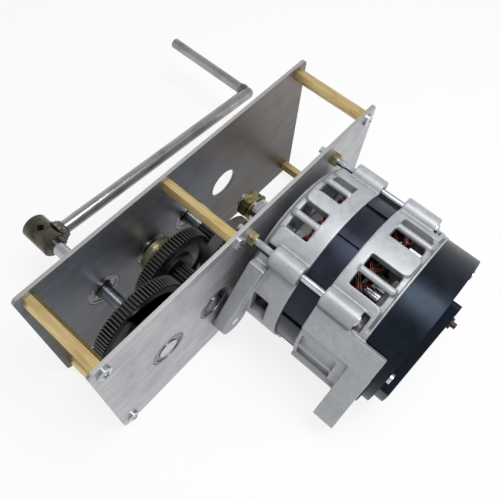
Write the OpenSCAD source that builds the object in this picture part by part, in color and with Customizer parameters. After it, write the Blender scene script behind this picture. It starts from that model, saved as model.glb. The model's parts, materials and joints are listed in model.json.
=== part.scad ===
// Hand crank generator: a car alternator bolted to a box of two plates,
// with three pairs of spur gears between the crank shaft and the alternator shaft.
// X runs along the plates, +Y points to the crank side, Z is up.
// The origin is the middle of the near plate's lower edge.

/* [Frame] */
// Length of each plate
plate_l = 304; // [300:1:320]
// Thickness of each plate
plate_t = 3; // [2.5:0.5:4]
// Free space between the two plates
plate_gap = 70; // [70:1:80]
// Radius of the plates' corners
plate_corner_r = 4.5; // [2:0.5:8]
// Width across flats of the hexagonal standoffs
standoff_af = 10; // [9:1:12]
// Distance of the corner standoffs from the plates' edges
standoff_inset = 10; // [8:1:12]
// Distance of the middle pair of standoffs past the mounting lugs' axis
standoff_past_lug = 15.5; // [14:0.5:18]
// Radius of the frame screws' shanks
screw_r = 3; // [2.5:0.5:3]
// Radius of the frame screws' heads
screw_head_r = 5.6; // [5:0.1:6]
// Height of the frame screws' heads
screw_head_h = 3.4; // [3:0.1:4]
// How deep a frame screw reaches into its standoff
screw_grip = 10; // [8:1:14]

/* [Gear train] */
// Distance of the crank shaft from the left edge
crank_x = 59; // [58:0.5:61]
// Gear module
gear_m = 1; // [1:0.05:1]
// Teeth of the gear on the crank shaft
teeth_1 = 85; // [85:1:85]
// Teeth of the pinion on the second shaft
teeth_2p = 17; // [17:1:17]
// Teeth of the gear on the second shaft
teeth_2 = 73; // [73:1:73]
// Teeth of the pinion on the third shaft
teeth_3p = 16; // [16:1:16]
// Teeth of the gear on the third shaft
teeth_3 = 60; // [60:1:60]
// Teeth of the pinion on the alternator shaft
teeth_4p = 31; // [31:1:31]
// Play between meshing teeth
backlash = 0.16; // [0.12:0.01:0.2]
// Radius of the three gear shafts as a share of the smallest pinion's pitch radius
shaft_share = 0.75; // [0.7:0.01:0.75]
// Outer radius of the plate bearings
bearing_r = 16; // [16:0.5:16]
// Width of the plate bearings
bearing_w = 10; // [9:0.5:10]
// Gap between the near plate and the gear on the crank shaft
gear_1_y = 22; // [20:1:23]
// Face width of the two large gears in the middle
gear_w = 11; // [10:0.5:12]
// Gap between the near plate and the gear on the second shaft
gear_2_y = 37.5; // [37:0.5:39]
// Gap between the near plate and the gear on the third shaft
gear_3_y = 9.5; // [9:0.5:10]
// Face width of the last gear pair
gear_3_w = 10; // [9:0.5:11]

/* [Crank] */
// Distance from the crank shaft to the handle
crank_r = 251; // [200:1:251]
// Angle of the crank arm below level, as it stands
crank_tilt = 4.2; // [0:0.1:4.2]
// Gap between the far plate and the crank hub
hub_gap = 55; // [30:1:60]
// Length of the crank hub
hub_l = 30; // [26:1:34]
// Radius of the crank hub
hub_r = 11.5; // [10.5:0.5:13]
// Radius of the crank arm
arm_r = 6; // [5:0.5:6.5]
// Distance of the arm from the hub's near end
arm_offset = 10; // [9:1:14]
// Radius of the handle bar
handle_r = 5.3; // [4.5:0.1:6]
// Length of the handle bar past the arm
handle_l = 106; // [90:1:120]

/* [Alternator] */
// Outer radius of the cast housings; the plates are as high as the housings are across
housing_r = 74; // [72:0.5:76]
// Gap between the near plate and the front housing
nose_gap = 8; // [8:0.5:9]
// Distance from the near plate to the stator
stator_y = 49; // [49:0.5:50]
// Length of the stator
stator_l = 19.5; // [18:0.5:21]
// How far the stator stands in from the housings
stator_in = 2.4; // [2.2:0.1:3.4]
// Radial depth of the stator
stator_depth = 21.6; // [20.6:0.1:21.6]
// Length of the rear housing
rear_l = 41.5; // [41:0.5:42]
// How far the rear cover stands in from the housings
cover_in = 1.6; // [1.4:0.1:2.6]
// Depth of the rear cover's rim
cover_rim_l = 21; // [18:0.5:22]
// Depth of the rear cover's cap behind the rim
cover_cap_l = 7; // [6:0.5:9]
// How far the circle of through bolts stands out from the housings
bolt_out = 0.7; // [0.7:0.1:1.2]
// Angle of the upper bolts above level
bolt_angle = 48.2; // [47:0.1:49]
// Radius of the through bolts
bolt_r = 3; // [2.5:0.1:3]
// Radius of the alternator shaft
rotor_shaft_r = 8.5; // [8.5:0.5:8.5]
// Air gap between the stator and the rotor
air_gap = 0.5; // [0.4:0.1:0.8]
// Radius of the mounting lugs' ends
lug_r = 15; // [14:0.5:15]
// Radius of the mounting lugs' holes
lug_hole_r = 4.3; // [4:0.1:5.5]

/* [Hidden] */
$fn = 72;
// Overshoot of a cutting tool
cut = 1;
// Running clearance between parts that turn past each other
clear = 0.3;
// Clearance of a screw in its hole
screw_play = 0.05;

// Stations along Y, from the near plate's outer face
near_y = plate_t;
far_y = plate_t + plate_gap;
box_w = plate_gap + 2 * plate_t;
plate_h = 2 * housing_r;
axis_z = housing_r;
// Tooth form: pressure angle, tip and root heights in modules
press_angle = 20;
tip_share = 0.97;
root_share = 1.25;
flank_steps = 4;
// Pitch radii and shaft places of the gear train
rp_1 = gear_m * teeth_1 / 2;
rp_2p = gear_m * teeth_2p / 2;
rp_2 = gear_m * teeth_2 / 2;
rp_3p = gear_m * teeth_3p / 2;
rp_3 = gear_m * teeth_3 / 2;
rp_4p = gear_m * teeth_4p / 2;
shaft_r = shaft_share * rp_3p;
x_a = crank_x;
x_b = x_a + rp_1 + rp_2p;
x_c = x_b + rp_2 + rp_3p;
x_d = x_c + rp_3 + rp_4p;

// Radii of the alternator that follow its housings
stator_r = housing_r - stator_in;
stator_bore_r = stator_r - stator_depth;
cover_r = housing_r - cover_in;
bolt_circle_r = housing_r + bolt_out;
cover_play = 0.4;
// Mounting lugs: their axis clears the cover, at an angle below level on the plates' middle side
lug_angle = 27;
lug_dist = cover_r + cover_play + clear + lug_r;
lug_x = x_d - lug_dist * cos(lug_angle);
lug_z = axis_z - lug_dist * sin(lug_angle);

// Frame details
standoff_mid_x = lug_x + standoff_past_lug;
screw_xs = [standoff_inset, standoff_mid_x, plate_l - standoff_inset];
screw_zs = [standoff_inset, plate_h - standoff_inset];
screw_dome = 1.4;
recess_l = 6.4;
recess_w = 1.3;
recess_d = 1.8;
thread_room = 2;
// The round access hole in the far plate, level with the alternator shaft
access_r = 14.5;
punch_r = 0.8;
punch_d = 0.5;
punch_places = [[51, 54], [48, -50.5]];
// Radial room round the alternator shaft's collar in the near plate
shaft_hole_play = 1.5;

// Plate bearings
race_outer_r = 13;
race_inner_r = 8.6;
shield_in = 0.6;
shield_t = 0.8;
edge_fillet = 0.6;
// Circlips and sleeves
clip_t = 1.4;
clip_r = 8;
clip_slit = 3;
sleeve_r = 8;

// Gear blanks
rim_t = 6;
web_in = 2;
collar_1_r = 17.5;
collar_1_l = 7;
boss_2_r = 17;
boss_2_room = 6;
boss_2_groove = 1.2;
boss_2_l = plate_gap - gear_2_y - gear_w - boss_2_room;
pinion_2_lead = 7;
pinion_3_lead = 2.5;
pinion_3_tail = 2.5;
step_3_in = 2;
step_3_r = rp_3 - step_3_in;
step_3_l = 10;
pinion_4_over = 1;

// Crank details
hub_y = box_w + hub_gap;
arm_y = hub_y + arm_offset;
hub_bevel = 1;
grub_r = 3;
grub_l = 3.4;
grub_socket_r = 1.6;
grub_from_end = 14;
weld_w = 4.5;
weld_h = 2.6;
weld_tip = 0.7;
handle_bevel = 1;
// The bar's end is ground back by this much, over this length, for its weld
handle_neck = 0.5;
handle_root = 10;

// Alternator stations, as distances in front of the near plate
front_l = stator_y - nose_gap;
rear_y = stator_y + stator_l;
rear_end = rear_y + rear_l;
shell_t = 8;
shell_bore = housing_r - shell_t;
front_wall = 6;
nose_slope_l = 4;
nose_slope_r = 6.5;
window_rib_r = 2.8;
window_rib_in = 1.1;
window_rib_over = 0.6;
front_win_y = 16;
front_win_l = 20;
rear_win_in = 8.5;
rear_wall = 5.5;
rear_win_end = 1;
rear_win_l = rear_l - rear_wall - rear_win_in - rear_win_end;
front_win_angles = [-15.1, 15.1];
front_win_width = 20.2;
rear_win_angles = [-18.4, 18.4];
rear_win_width = 21.4;
front_win_sides = [0, 90, 270];
rear_win_sides = [0, 90, 270];
side_win_y = 23;
side_win_l = 14;
side_win_from = 161;
side_win_to = 183;
vent_count = 8;
vent_w = 9;
vent_land = 4.5;
vent_margin = 6;
// Bosses for the four long bolts
bolt_angles = [bolt_angle, 180 - bolt_angle, 180 + bolt_angle, 360 - bolt_angle];
boss_r = 8.5;
boss_front_y = 22.5;
boss_rear_in = 12;
boss_rear_l = rear_l - boss_rear_in;
bolt_head_r = 5.2;
bolt_head_h = 4.2;
bolt_nut_af = 10;
bolt_nut_h = 6;
bolt_end = 9;
inner_nut_h = 5;
// Mounting lugs, whose bars share one line that leans towards the alternator
front_lug_l = 13;
lug_step = 0.1;
lug_inset = 1;
front_lug_w = 14;
front_lug_past = 20.5;
front_lug_top_y = 11;
rear_lug_gap = 1;
rear_lug_y = rear_end + rear_lug_gap;
rear_lug_l = 18.5;
rear_bar_t = 3.4;
rear_bar_d = cover_r + cover_play + rear_bar_t;
rear_bar_angle = 148;
rear_bar_up = 11.5;
rear_bar_down = 11.5;
strut_angle = 199;
strut_r = 3.6;
pocket_from = 164;
pocket_to = 194;
pocket_in = 4;
lug_bolt_head_af = 13;
lug_bolt_head_h = 5.3;
lug_washer_r = 8;
lug_washer_t = 1.6;
lug_bush_r = 6.5;

// Stator, winding and rotor
groove_count = 12;
groove_w = 4.4;
groove_d = 2.4;
groove_start = 71.5;
slot_count = 48;
throw_count = 5;
slot_in = 5;
slot_ring_r = stator_bore_r + slot_in;
wire_fill_share = 0.2917;
wire_r = wire_fill_share * 2 * PI * slot_ring_r / slot_count;
wire_play = 0.4;
wire_lead = 2.2;
wire_reach = 19;
wire_layer = 5.4;
claw_count = 6;
claw_thick = 12;
rotor_gap_l = 21;
claw_shell = 8.5;
rotor_r = stator_bore_r - air_gap;
claw_root_share = 0.2626;
claw_tip_share = 0.101;
claw_root = claw_root_share * rotor_r;
claw_tip = claw_tip_share * rotor_r;
claw_disc_share = 0.7475;
claw_disc_r = claw_disc_share * rotor_r;
core_share = 0.4865;
core_r = core_share * claw_disc_r;
coil_play = 0.5;
fan_in = 4.5;
fan_r = rotor_r - fan_in;
fan_t = 1.5;
fan_blades = 10;
fan_blade_h = 8.5;
fan_blade_l = 14;
fan_blade_in = fan_r - fan_blade_l;
tail_r = 7.5;
tip_r = 6;
slip_r = 9;
slip_w = 6.5;
slip_gap = 2;
rotor_front_bearing_r = 23.5;
rotor_front_bearing_w = 14;
rotor_front_race = 12.5;
rotor_rear_bearing_r = 17.5;
rotor_rear_bearing_w = 11;
rotor_rear_race = 10.5;
bearing_wall = 5;
bearing_seat_r = rotor_front_bearing_r + bearing_wall;
nose_lip = 2;
collar_d_r = 11;
spacer_r = 10.5;
spacer_l = 10.5;
washer_d_r = 12.8;
washer_d_t = 2;
shaft_nut_af = 24;
shaft_nut_h = 10;
thread_over = 3;
washer_slit = 2.5;

// Rear cover and what it holds
cover_wall = 2.5;
cover_left_in = 5.9;
cover_left_r = cover_r - cover_left_in;
cover_split = -14;
cover_split_angle = 30;
bulge_in = 12.4;
bulge_r = cover_r - bulge_in;
bulge_l = 8;
bulge_cut_in = 16;
bulge_cut = bulge_r - bulge_cut_in;
bulge_cut_angle = 131;
bulge_right = 6;
cover_screw_in = 12.4;
cover_screw_ring = cover_r - cover_screw_in;
cover_screw_angles = [156, 276, 36];
cover_screw_r = 2.2;
cover_screw_head_r = 4.4;
cover_screw_head_h = 3.2;
cover_post_r = 5.5;
head_seat = 1;
cap_step = 0.4;
cover_screw_bite = 5;
term_x = 22;
term_z = 4;
term_base_r = 10;
term_base_l = 7;
term_r = 3;
term_out = 17;
term_tip_r = 2.5;
term_tip_l = 3.8;
term_nut_af = 10;
term_nut_h = 5;
term_washer_r = 6.5;
term_washer_t = 1.2;
rect_in_r = 14;
rect_room = 17.4;
rect_r = cover_r - rect_room;
rect_t = 4;
rect_from = 8;
diode_r = 6;
diode_h = 7;
diode_in = 11;
diode_ring = rect_r - diode_in;
diode_angles = [-62, -37, -12, 12, 62];
brush_w = 16;
brush_top = 34;
brush_l = 19;
brush_gap = 0.4;

race_thick = 3.5;
rear_hole_r = 13.5;
pocket_edge = 3.5;
bolt_pocket_wall = 1;
bolt_pocket_room = 2.5;
bolt_ball_r = 6;
boss_back = 0.4;
rod_room = 1.8;
head_sink = 1.5;
lug_proud = 0.3;
lug_web_w = 9;
pocket_rim = 1.5;
pocket_l = rear_l - rear_wall - pocket_edge - pocket_rim;

// The place of the part: the middle of the near plate's lower edge
module placed() translate([-plate_l / 2, -plate_t / 2, 0]) children();

// Turns what is drawn along +Z so that it runs towards -Y from station y
module on_axis(x, y, z = axis_z) translate([x, y, z]) rotate([90, 0, 0]) children();

// A ring or disc on an axis along Y, between two stations
module ring(x, y0, y1, r, bore = 0, z = axis_z) {
    on_axis(x, y1, z) difference() {
        cylinder(r = r, h = y1 - y0);
        if (bore > 0) translate([0, 0, -cut]) cylinder(r = bore, h = y1 - y0 + 2 * cut);
    }
}

// A hexagonal prism along +Z with one flat on top once it is turned on to an axis
module hexagon(af, h) cylinder(r = af / sqrt(3), h = h, $fn = 6);

// A hexagonal nut on an axis along Y, with bevelled corners
module nut(x, y0, y1, af, bore, z = axis_z) {
    bevel = af / sqrt(3) - af / 2;
    h = y1 - y0;
    on_axis(x, y1, z) difference() {
        intersection() {
            hexagon(af, h);
            rotate_extrude() polygon([[0, 0], [af / 2, 0], [af / 2 + 2 * bevel, 2 * bevel],
                [af / 2 + 2 * bevel, h - 2 * bevel], [af / 2, h], [0, h]]);
        }
        translate([0, 0, -cut]) cylinder(r = bore, h = h + 2 * cut);
    }
}

// Places children at each frame screw
module at_screws() {
    for (sx = screw_xs, sz = screw_zs) translate([sx, 0, sz]) children();
}

// Places children at each long bolt, seen along the alternator's axis
module at_bolts() {
    for (a = bolt_angles) rotate([0, 0, a])
        translate([bolt_circle_r, 0, 0]) rotate([0, 0, -a]) children();
}

// Frame plates
module plate_blank() {
    rr = plate_corner_r;
    translate([rr, 0, 0]) cube([plate_l - 2 * rr, plate_t, plate_h]);
    translate([0, 0, rr]) cube([plate_l, plate_t, plate_h - 2 * rr]);
    for (cx = [rr, plate_l - rr], cz = [rr, plate_h - rr])
        on_axis(cx, plate_t, cz) cylinder(r = rr, h = plate_t);
}

module plate_bores() {
    for (bx = [x_a, x_b, x_c]) ring(bx, -cut, plate_t + cut, bearing_r);
    at_screws() rotate([-90, 0, 0]) translate([0, 0, -cut])
        cylinder(r = screw_r + screw_play, h = plate_t + 2 * cut);
}

module front_plate() color([0.75, 0.76, 0.78]) difference() {
    plate_blank();
    plate_bores();
    ring(x_d, -cut, plate_t + cut, collar_d_r + shaft_hole_play);
    on_axis(x_d, plate_t + cut) at_bolts() cylinder(r = bolt_r + screw_play, h = plate_t + 2 * cut);
    ring(lug_x, -cut, plate_t + cut, lug_hole_r + screw_play, 0, lug_z);
}

module rear_plate() color([0.75, 0.76, 0.78]) translate([0, far_y, 0]) difference() {
    plate_blank();
    plate_bores();
    ring(x_d, -cut, plate_t + cut, access_r);
    for (p = punch_places) ring(x_d + p[0], -cut, punch_d, punch_r, 0, axis_z + p[1]);
}

module standoffs() color([0.8, 0.66, 0.36]) at_screws() difference() {
    translate([0, far_y, 0]) rotate([90, 0, 0]) hexagon(standoff_af, plate_gap);
    for (y0 = [near_y - cut, far_y - screw_grip - thread_room])
        translate([0, y0, 0]) rotate([-90, 0, 0])
            cylinder(r = screw_r, h = screw_grip + thread_room + cut);
}

// A pan head screw, drawn with its shank along +Z and its head below zero
module pan_screw(shank) {
    edge_h = screw_head_h - screw_dome;
    ball_r = (screw_head_r * screw_head_r + screw_dome * screw_dome) / (2 * screw_dome);
    cylinder(r = screw_r, h = shank);
    difference() {
        intersection() {
            translate([0, 0, -screw_head_h]) cylinder(r = screw_head_r, h = screw_head_h);
            translate([0, 0, -screw_head_h + ball_r]) sphere(r = ball_r);
        }
        for (a = [0, 90]) rotate([0, 0, a + 45])
            translate([-recess_l / 2, -recess_w / 2, -screw_head_h - cut])
                cube([recess_l, recess_w, recess_d + cut]);
    }
}

module front_screws() color([0.8, 0.81, 0.83]) at_screws() rotate([-90, 0, 0])
    pan_screw(plate_t + screw_grip);

module rear_screws() color([0.8, 0.81, 0.83]) at_screws() translate([0, box_w, 0]) rotate([90, 0, 0])
    pan_screw(plate_t + screw_grip);

// Plate bearings: flush with the near plate's outer face and the far plate's inner face
bearing_ys = [0, far_y];

// An outer ring with its two shields, as one section turned round the axis
module bearing_outer(w, r_out, r_race, r_shield) {
    s0 = shield_in;
    s1 = shield_in + shield_t;
    rotate_extrude() polygon([[r_race, 0], [r_out - edge_fillet, 0], [r_out, edge_fillet],
        [r_out, w - edge_fillet], [r_out - edge_fillet, w], [r_race, w], [r_race, w - s0],
        [r_shield, w - s0], [r_shield, w - s1], [r_race, w - s1], [r_race, s1],
        [r_shield, s1], [r_shield, s0], [r_race, s0]]);
}

module bearing_outer_rings() color([0.55, 0.56, 0.58])
    for (bx = [x_a, x_b, x_c], by = bearing_ys)
        on_axis(bx, by + bearing_w)
            bearing_outer(bearing_w, bearing_r, race_outer_r, race_inner_r + clear);

module inner_rings(bx) color([0.72, 0.73, 0.75])
    for (by = bearing_ys) ring(bx, by, by + bearing_w, race_inner_r, shaft_r);

module inner_rings_a() inner_rings(x_a);
module inner_rings_b() inner_rings(x_b);
module inner_rings_c() inner_rings(x_c);

// An open circlip on an axis along Y
module circlip(x, y0) {
    on_axis(x, y0 + clip_t) difference() {
        cylinder(r = clip_r, h = clip_t);
        translate([0, 0, -cut]) cylinder(r = shaft_r, h = clip_t + 2 * cut);
        translate([0, -clip_slit / 2, -cut]) cube([clip_r + cut, clip_slit, clip_t + 2 * cut]);
    }
}

// One spur gear with straight teeth of true involute form, drawn along +Z from zero
function involute_deg(a) = tan(a) * 180 / PI - a;
function flank_half(rp, r) = let (rb = rp * cos(press_angle), rr = max(r, rb))
    (PI * gear_m / 2 - backlash / 2) / (2 * rp) * 180 / PI
    + involute_deg(press_angle) - involute_deg(acos(min(1, rb / rr)));
function flank_radii(rp) = let (rb = rp * cos(press_angle), r0 = rp - root_share * gear_m,
    r1 = rp + tip_share * gear_m, rs = max(rb, r0))
    concat(rb > r0 ? [r0] : [], [for (i = [0:flank_steps]) rs + (r1 - rs) * i / flank_steps]);
function tooth_points(rp, a) = let (rs = flank_radii(rp), n = len(rs))
    concat([for (i = [0:n - 1]) let (h = a - flank_half(rp, rs[i])) [rs[i] * cos(h), rs[i] * sin(h)]],
        [for (i = [n - 1:-1:0]) let (h = a + flank_half(rp, rs[i])) [rs[i] * cos(h), rs[i] * sin(h)]]);

module gear(teeth, w, bore, phase = 0) {
    rp = gear_m * teeth / 2;
    pts = [for (k = [0:teeth - 1]) each tooth_points(rp, phase + 360 * k / teeth)];
    difference() {
        linear_extrude(height = w) polygon(pts);
        translate([0, 0, -cut]) cylinder(r = bore, h = w + 2 * cut);
    }
}

// The shallow web between a gear's hub and its rim, on both faces
module gear_web(rp, w) {
    for (z0 = [-cut, w - web_in]) translate([0, 0, z0]) difference() {
        cylinder(r = rp - root_share * gear_m - rim_t, h = web_in + cut);
        translate([0, 0, -cut]) cylinder(r = collar_1_r, h = web_in + 3 * cut);
    }
}

// Stations of the gears
g1_y = near_y + gear_1_y;
g2_y = near_y + gear_2_y;
g3_y = near_y + gear_3_y;
clip_near_y = bearing_w;
clip_far_y = far_y - clip_t;
collar_1_y = g1_y - collar_1_l;

// Crank: shaft, hub, arm and handle
module crank_shaft() color([0.6, 0.61, 0.63])
    ring(x_a, 0, hub_y + hub_l, shaft_r);

module crank_hub() color([0.5, 0.5, 0.5]) difference() {
    on_axis(x_a, hub_y + hub_l) rotate_extrude() polygon([[shaft_r, 0], [hub_r - hub_bevel, 0],
        [hub_r, hub_bevel], [hub_r, hub_l - hub_bevel], [hub_r - hub_bevel, hub_l], [shaft_r, hub_l]]);
    translate([x_a, hub_y + hub_l - grub_from_end, axis_z]) cylinder(r = grub_r, h = hub_r + cut);
}

module hub_screw() color([0.2, 0.2, 0.22])
    translate([x_a, hub_y + hub_l - grub_from_end, axis_z + shaft_r]) difference() {
        cylinder(r = grub_r, h = grub_l);
        translate([0, 0, grub_l / 2]) cylinder(r = grub_socket_r, h = grub_l, $fn = 6);
    }

// Turns what is drawn along +Z so that it runs along the crank arm from the crank shaft
module along_arm() translate([x_a, arm_y, axis_z]) rotate([0, 90 + crank_tilt, 0]) children();

module arm_bar(extra = 0) along_arm() {
    cylinder(r = arm_r + extra, h = crank_r);
    translate([0, 0, crank_r]) sphere(r = arm_r + extra);
}

module at_handle() along_arm() translate([0, 0, crank_r]) rotate([-90, 0, 0]) children();

module crank_arm() color([0.6, 0.6, 0.6]) difference() {
    arm_bar();
    ring(x_a, hub_y - cut, hub_y + hub_l + cut, hub_r);
}

module arm_weld() difference() {
    along_arm() translate([0, 0, hub_r - weld_h])
        cylinder(r1 = arm_r + weld_w, r2 = arm_r + weld_tip, h = weld_h + weld_w);
    ring(x_a, hub_y - cut, hub_y + hub_l + cut, hub_r);
    along_arm() cylinder(r = arm_r, h = crank_r);
}

module crank_handle() color([0.62, 0.62, 0.62]) difference() {
    at_handle() rotate_extrude() polygon([[0, 0], [handle_r - handle_neck, 0],
        [handle_r - handle_neck, handle_root], [handle_r, handle_root],
        [handle_r, handle_l - handle_bevel], [handle_r - handle_bevel, handle_l], [0, handle_l]]);
    arm_bar();
}

module handle_weld() difference() {
    at_handle() translate([0, 0, arm_r / 2])
        cylinder(r1 = handle_r + weld_tip, r2 = handle_r + weld_tip / 2, h = arm_r / 2 + weld_h);
    arm_bar();
    at_handle() cylinder(r = handle_r - handle_neck, h = handle_l);
}

module crank_welds() color([0.4, 0.38, 0.36]) {
    arm_weld();
    handle_weld();
}

module clips_a() color([0.3, 0.3, 0.32])
    for (y0 = [clip_near_y, collar_1_y - clip_t, g1_y + gear_w, clip_far_y]) circlip(x_a, y0);

module gear_1() color([0.28, 0.28, 0.3]) on_axis(x_a, g1_y + gear_w) difference() {
    gear(teeth_1, gear_w, shaft_r);
    gear_web(rp_1, gear_w);
}

module gear_1_collar() color([0.7, 0.7, 0.7]) ring(x_a, collar_1_y, g1_y, collar_1_r, shaft_r);

// Second shaft
pinion_2_y = g1_y - pinion_2_lead;

module shaft_b() color([0.6, 0.61, 0.63]) ring(x_b, 0, far_y + bearing_w, shaft_r);

module pinion_2() color([0.28, 0.28, 0.3])
    on_axis(x_b, g2_y) gear(teeth_2p, g2_y - pinion_2_y, shaft_r);

module gear_2() color([0.28, 0.28, 0.3]) on_axis(x_b, g2_y + gear_w) difference() {
    gear(teeth_2, gear_w, shaft_r);
    gear_web(rp_2, gear_w);
}

module gear_2_boss() color([0.66, 0.6, 0.46]) difference() {
    ring(x_b, g2_y + gear_w, g2_y + gear_w + boss_2_l, boss_2_r, shaft_r);
    ring(x_b, g2_y + gear_w + boss_2_l * 2 / 3, g2_y + gear_w + boss_2_l * 2 / 3 + boss_2_groove,
        boss_2_r + cut, boss_2_r - boss_2_groove);
}

module clips_b() color([0.3, 0.3, 0.32])
    for (y0 = [clip_near_y, pinion_2_y - clip_t, g2_y + gear_w + boss_2_l, clip_far_y])
        circlip(x_b, y0);

// Third shaft
step_3_y = g3_y + gear_3_w;
pinion_3_y = g2_y - pinion_3_lead;
pinion_3_l = gear_w + pinion_3_lead + pinion_3_tail;

module shaft_c() color([0.6, 0.61, 0.63]) ring(x_c, 0, far_y + bearing_w, shaft_r);

module pinion_3() color([0.28, 0.28, 0.3])
    on_axis(x_c, pinion_3_y + pinion_3_l) gear(teeth_3p, pinion_3_l, shaft_r, 180 / teeth_3p);

module gear_3() color([0.3, 0.3, 0.32]) {
    on_axis(x_c, step_3_y) gear(teeth_3, gear_3_w, shaft_r);
    ring(x_c, step_3_y, step_3_y + step_3_l, step_3_r, shaft_r);
}

module sleeves_c() color([0.5, 0.5, 0.52]) {
    ring(x_c, clip_near_y, g3_y, sleeve_r, shaft_r);
    ring(x_c, step_3_y + step_3_l, pinion_3_y, sleeve_r, shaft_r);
}

module clips_c() color([0.3, 0.3, 0.32])
    for (y0 = [pinion_3_y + pinion_3_l, clip_far_y]) circlip(x_c, y0);

// Turns what is drawn along +Z so that it runs away from the near plate, d in front of it
module alt(d) on_axis(x_d, -d) children();

// Rotor: shaft, pinion, spacers and nut
rotor_mid = stator_y + stator_l / 2;
disc_front = rotor_mid - rotor_gap_l / 2 - claw_thick;
disc_rear = rotor_mid + rotor_gap_l / 2 + claw_thick;
p4_y0 = g3_y - pinion_4_over;
p4_l = gear_3_w + 2 * pinion_4_over;
nut_y0 = p4_y0 + p4_l + spacer_l + washer_d_t;
front_bearing_d = nose_gap + nose_lip;
rear_bearing_d = rear_end - nose_lip - rotor_rear_bearing_w;
slip_d = rear_end + slip_gap;
shaft_tip_d = slip_d + 2 * slip_w + 2 * slip_gap;

module rotor_shaft() color([0.62, 0.63, 0.65]) {
    ring(x_d, -rear_bearing_d, nut_y0 + shaft_nut_h + thread_over, rotor_shaft_r);
    ring(x_d, -rear_end, -rear_bearing_d, tail_r);
    ring(x_d, -shaft_tip_d, -rear_end, tip_r);
}

module pinion_4() color([0.28, 0.28, 0.3])
    on_axis(x_d, p4_y0 + p4_l) gear(teeth_4p, p4_l, rotor_shaft_r);

module shaft_spacer() color([0.8, 0.81, 0.82]) {
    ring(x_d, p4_y0 + p4_l, p4_y0 + p4_l + spacer_l, spacer_r, rotor_shaft_r);
    ring(x_d, -front_bearing_d, p4_y0, collar_d_r, rotor_shaft_r);
    ring(x_d, -disc_front + fan_t, -front_bearing_d - rotor_front_bearing_w, collar_d_r, rotor_shaft_r);
    ring(x_d, -rear_bearing_d, -disc_rear - fan_t, rotor_rear_race, rotor_shaft_r);
}

module spring_washer() color([0.55, 0.5, 0.38]) on_axis(x_d, nut_y0) difference() {
    cylinder(r = washer_d_r, h = washer_d_t);
    translate([0, 0, -cut]) cylinder(r = rotor_shaft_r, h = washer_d_t + 2 * cut);
    translate([0, -washer_slit / 2, -cut]) cube([washer_d_r + cut, washer_slit, washer_d_t + 2 * cut]);
}

module shaft_nut() color([0.78, 0.68, 0.34])
    nut(x_d, nut_y0, nut_y0 + shaft_nut_h, shaft_nut_af, rotor_shaft_r);

// One tapered claw, rooted on a pole disc that starts at zero
module claw() {
    reach = 2 * claw_thick + rotor_gap_l - coil_play;
    rotate([90, 0, 90]) linear_extrude(height = rotor_r + cut)
        polygon([[-claw_root, 0], [claw_root, 0], [claw_root, claw_thick], [claw_tip, reach],
            [-claw_tip, reach], [-claw_root, claw_thick]]);
}

module claw_pole(turn) {
    full = 2 * claw_thick + rotor_gap_l;
    half_gap = rotor_gap_l / 2;
    difference() {
        union() {
            cylinder(r = claw_disc_r, h = claw_thick);
            cylinder(r = core_r, h = claw_thick + half_gap);
            for (k = [0:claw_count - 1]) rotate([0, 0, turn + 360 * k / claw_count]) {
                intersection() {
                    claw();
                    difference() {
                        cylinder(r = rotor_r, h = full);
                        translate([0, 0, -cut]) cylinder(r = rotor_r - claw_shell, h = full + 2 * cut);
                    }
                }
                intersection() {
                    claw();
                    difference() {
                        cylinder(r = rotor_r, h = claw_thick);
                        translate([0, 0, -cut]) cylinder(r = core_r, h = claw_thick + 2 * cut);
                    }
                }
            }
        }
        translate([0, 0, -cut]) cylinder(r = rotor_shaft_r, h = full + 2 * cut);
    }
}

module claw_pole_front() color([0.4, 0.4, 0.42]) alt(disc_front) claw_pole(0);

module claw_pole_rear() color([0.4, 0.4, 0.42]) alt(disc_rear) mirror([0, 0, 1])
    claw_pole(180 / claw_count);

module field_coil() color([0.62, 0.3, 0.16])
    ring(x_d, -disc_rear + claw_thick + coil_play, -disc_front - claw_thick - coil_play,
        claw_disc_r, core_r);

// A fan: a disc with straight blades, drawn along +Z from the disc's pole side
module fan() {
    difference() {
        cylinder(r = fan_r, h = fan_t);
        translate([0, 0, -cut]) cylinder(r = rotor_shaft_r, h = fan_t + 2 * cut);
    }
    for (k = [0:fan_blades - 1]) rotate([0, 0, 360 * k / fan_blades])
        translate([fan_blade_in, -fan_t / 2, fan_t / 2])
            cube([fan_r - fan_blade_in - fan_t, fan_t, fan_t / 2 + fan_blade_h]);
}

module fans() color([0.45, 0.46, 0.48]) {
    alt(disc_front) mirror([0, 0, 1]) fan();
    alt(disc_rear) fan();
}

module slip_rings() color([0.75, 0.42, 0.24]) for (k = [0, 1])
    alt(slip_d + k * (slip_w + slip_gap)) difference() {
        cylinder(r = slip_r, h = slip_w);
        translate([0, 0, -cut]) cylinder(r = tip_r, h = slip_w + 2 * cut);
    }

module rotor_bearing_inner() color([0.72, 0.73, 0.75]) {
    ring(x_d, -front_bearing_d - rotor_front_bearing_w, -front_bearing_d,
        rotor_front_race, rotor_shaft_r);
    ring(x_d, -rear_bearing_d - rotor_rear_bearing_w, -rear_bearing_d, rotor_rear_race, tail_r);
}

module rotor_bearing_outer() color([0.55, 0.56, 0.58]) {
    alt(front_bearing_d) bearing_outer(rotor_front_bearing_w, rotor_front_bearing_r,
        rotor_front_bearing_r - race_thick, rotor_front_race + clear);
    alt(rear_bearing_d) bearing_outer(rotor_rear_bearing_w, rotor_rear_bearing_r,
        rotor_rear_bearing_r - race_thick, rotor_rear_race + clear);
}

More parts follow.
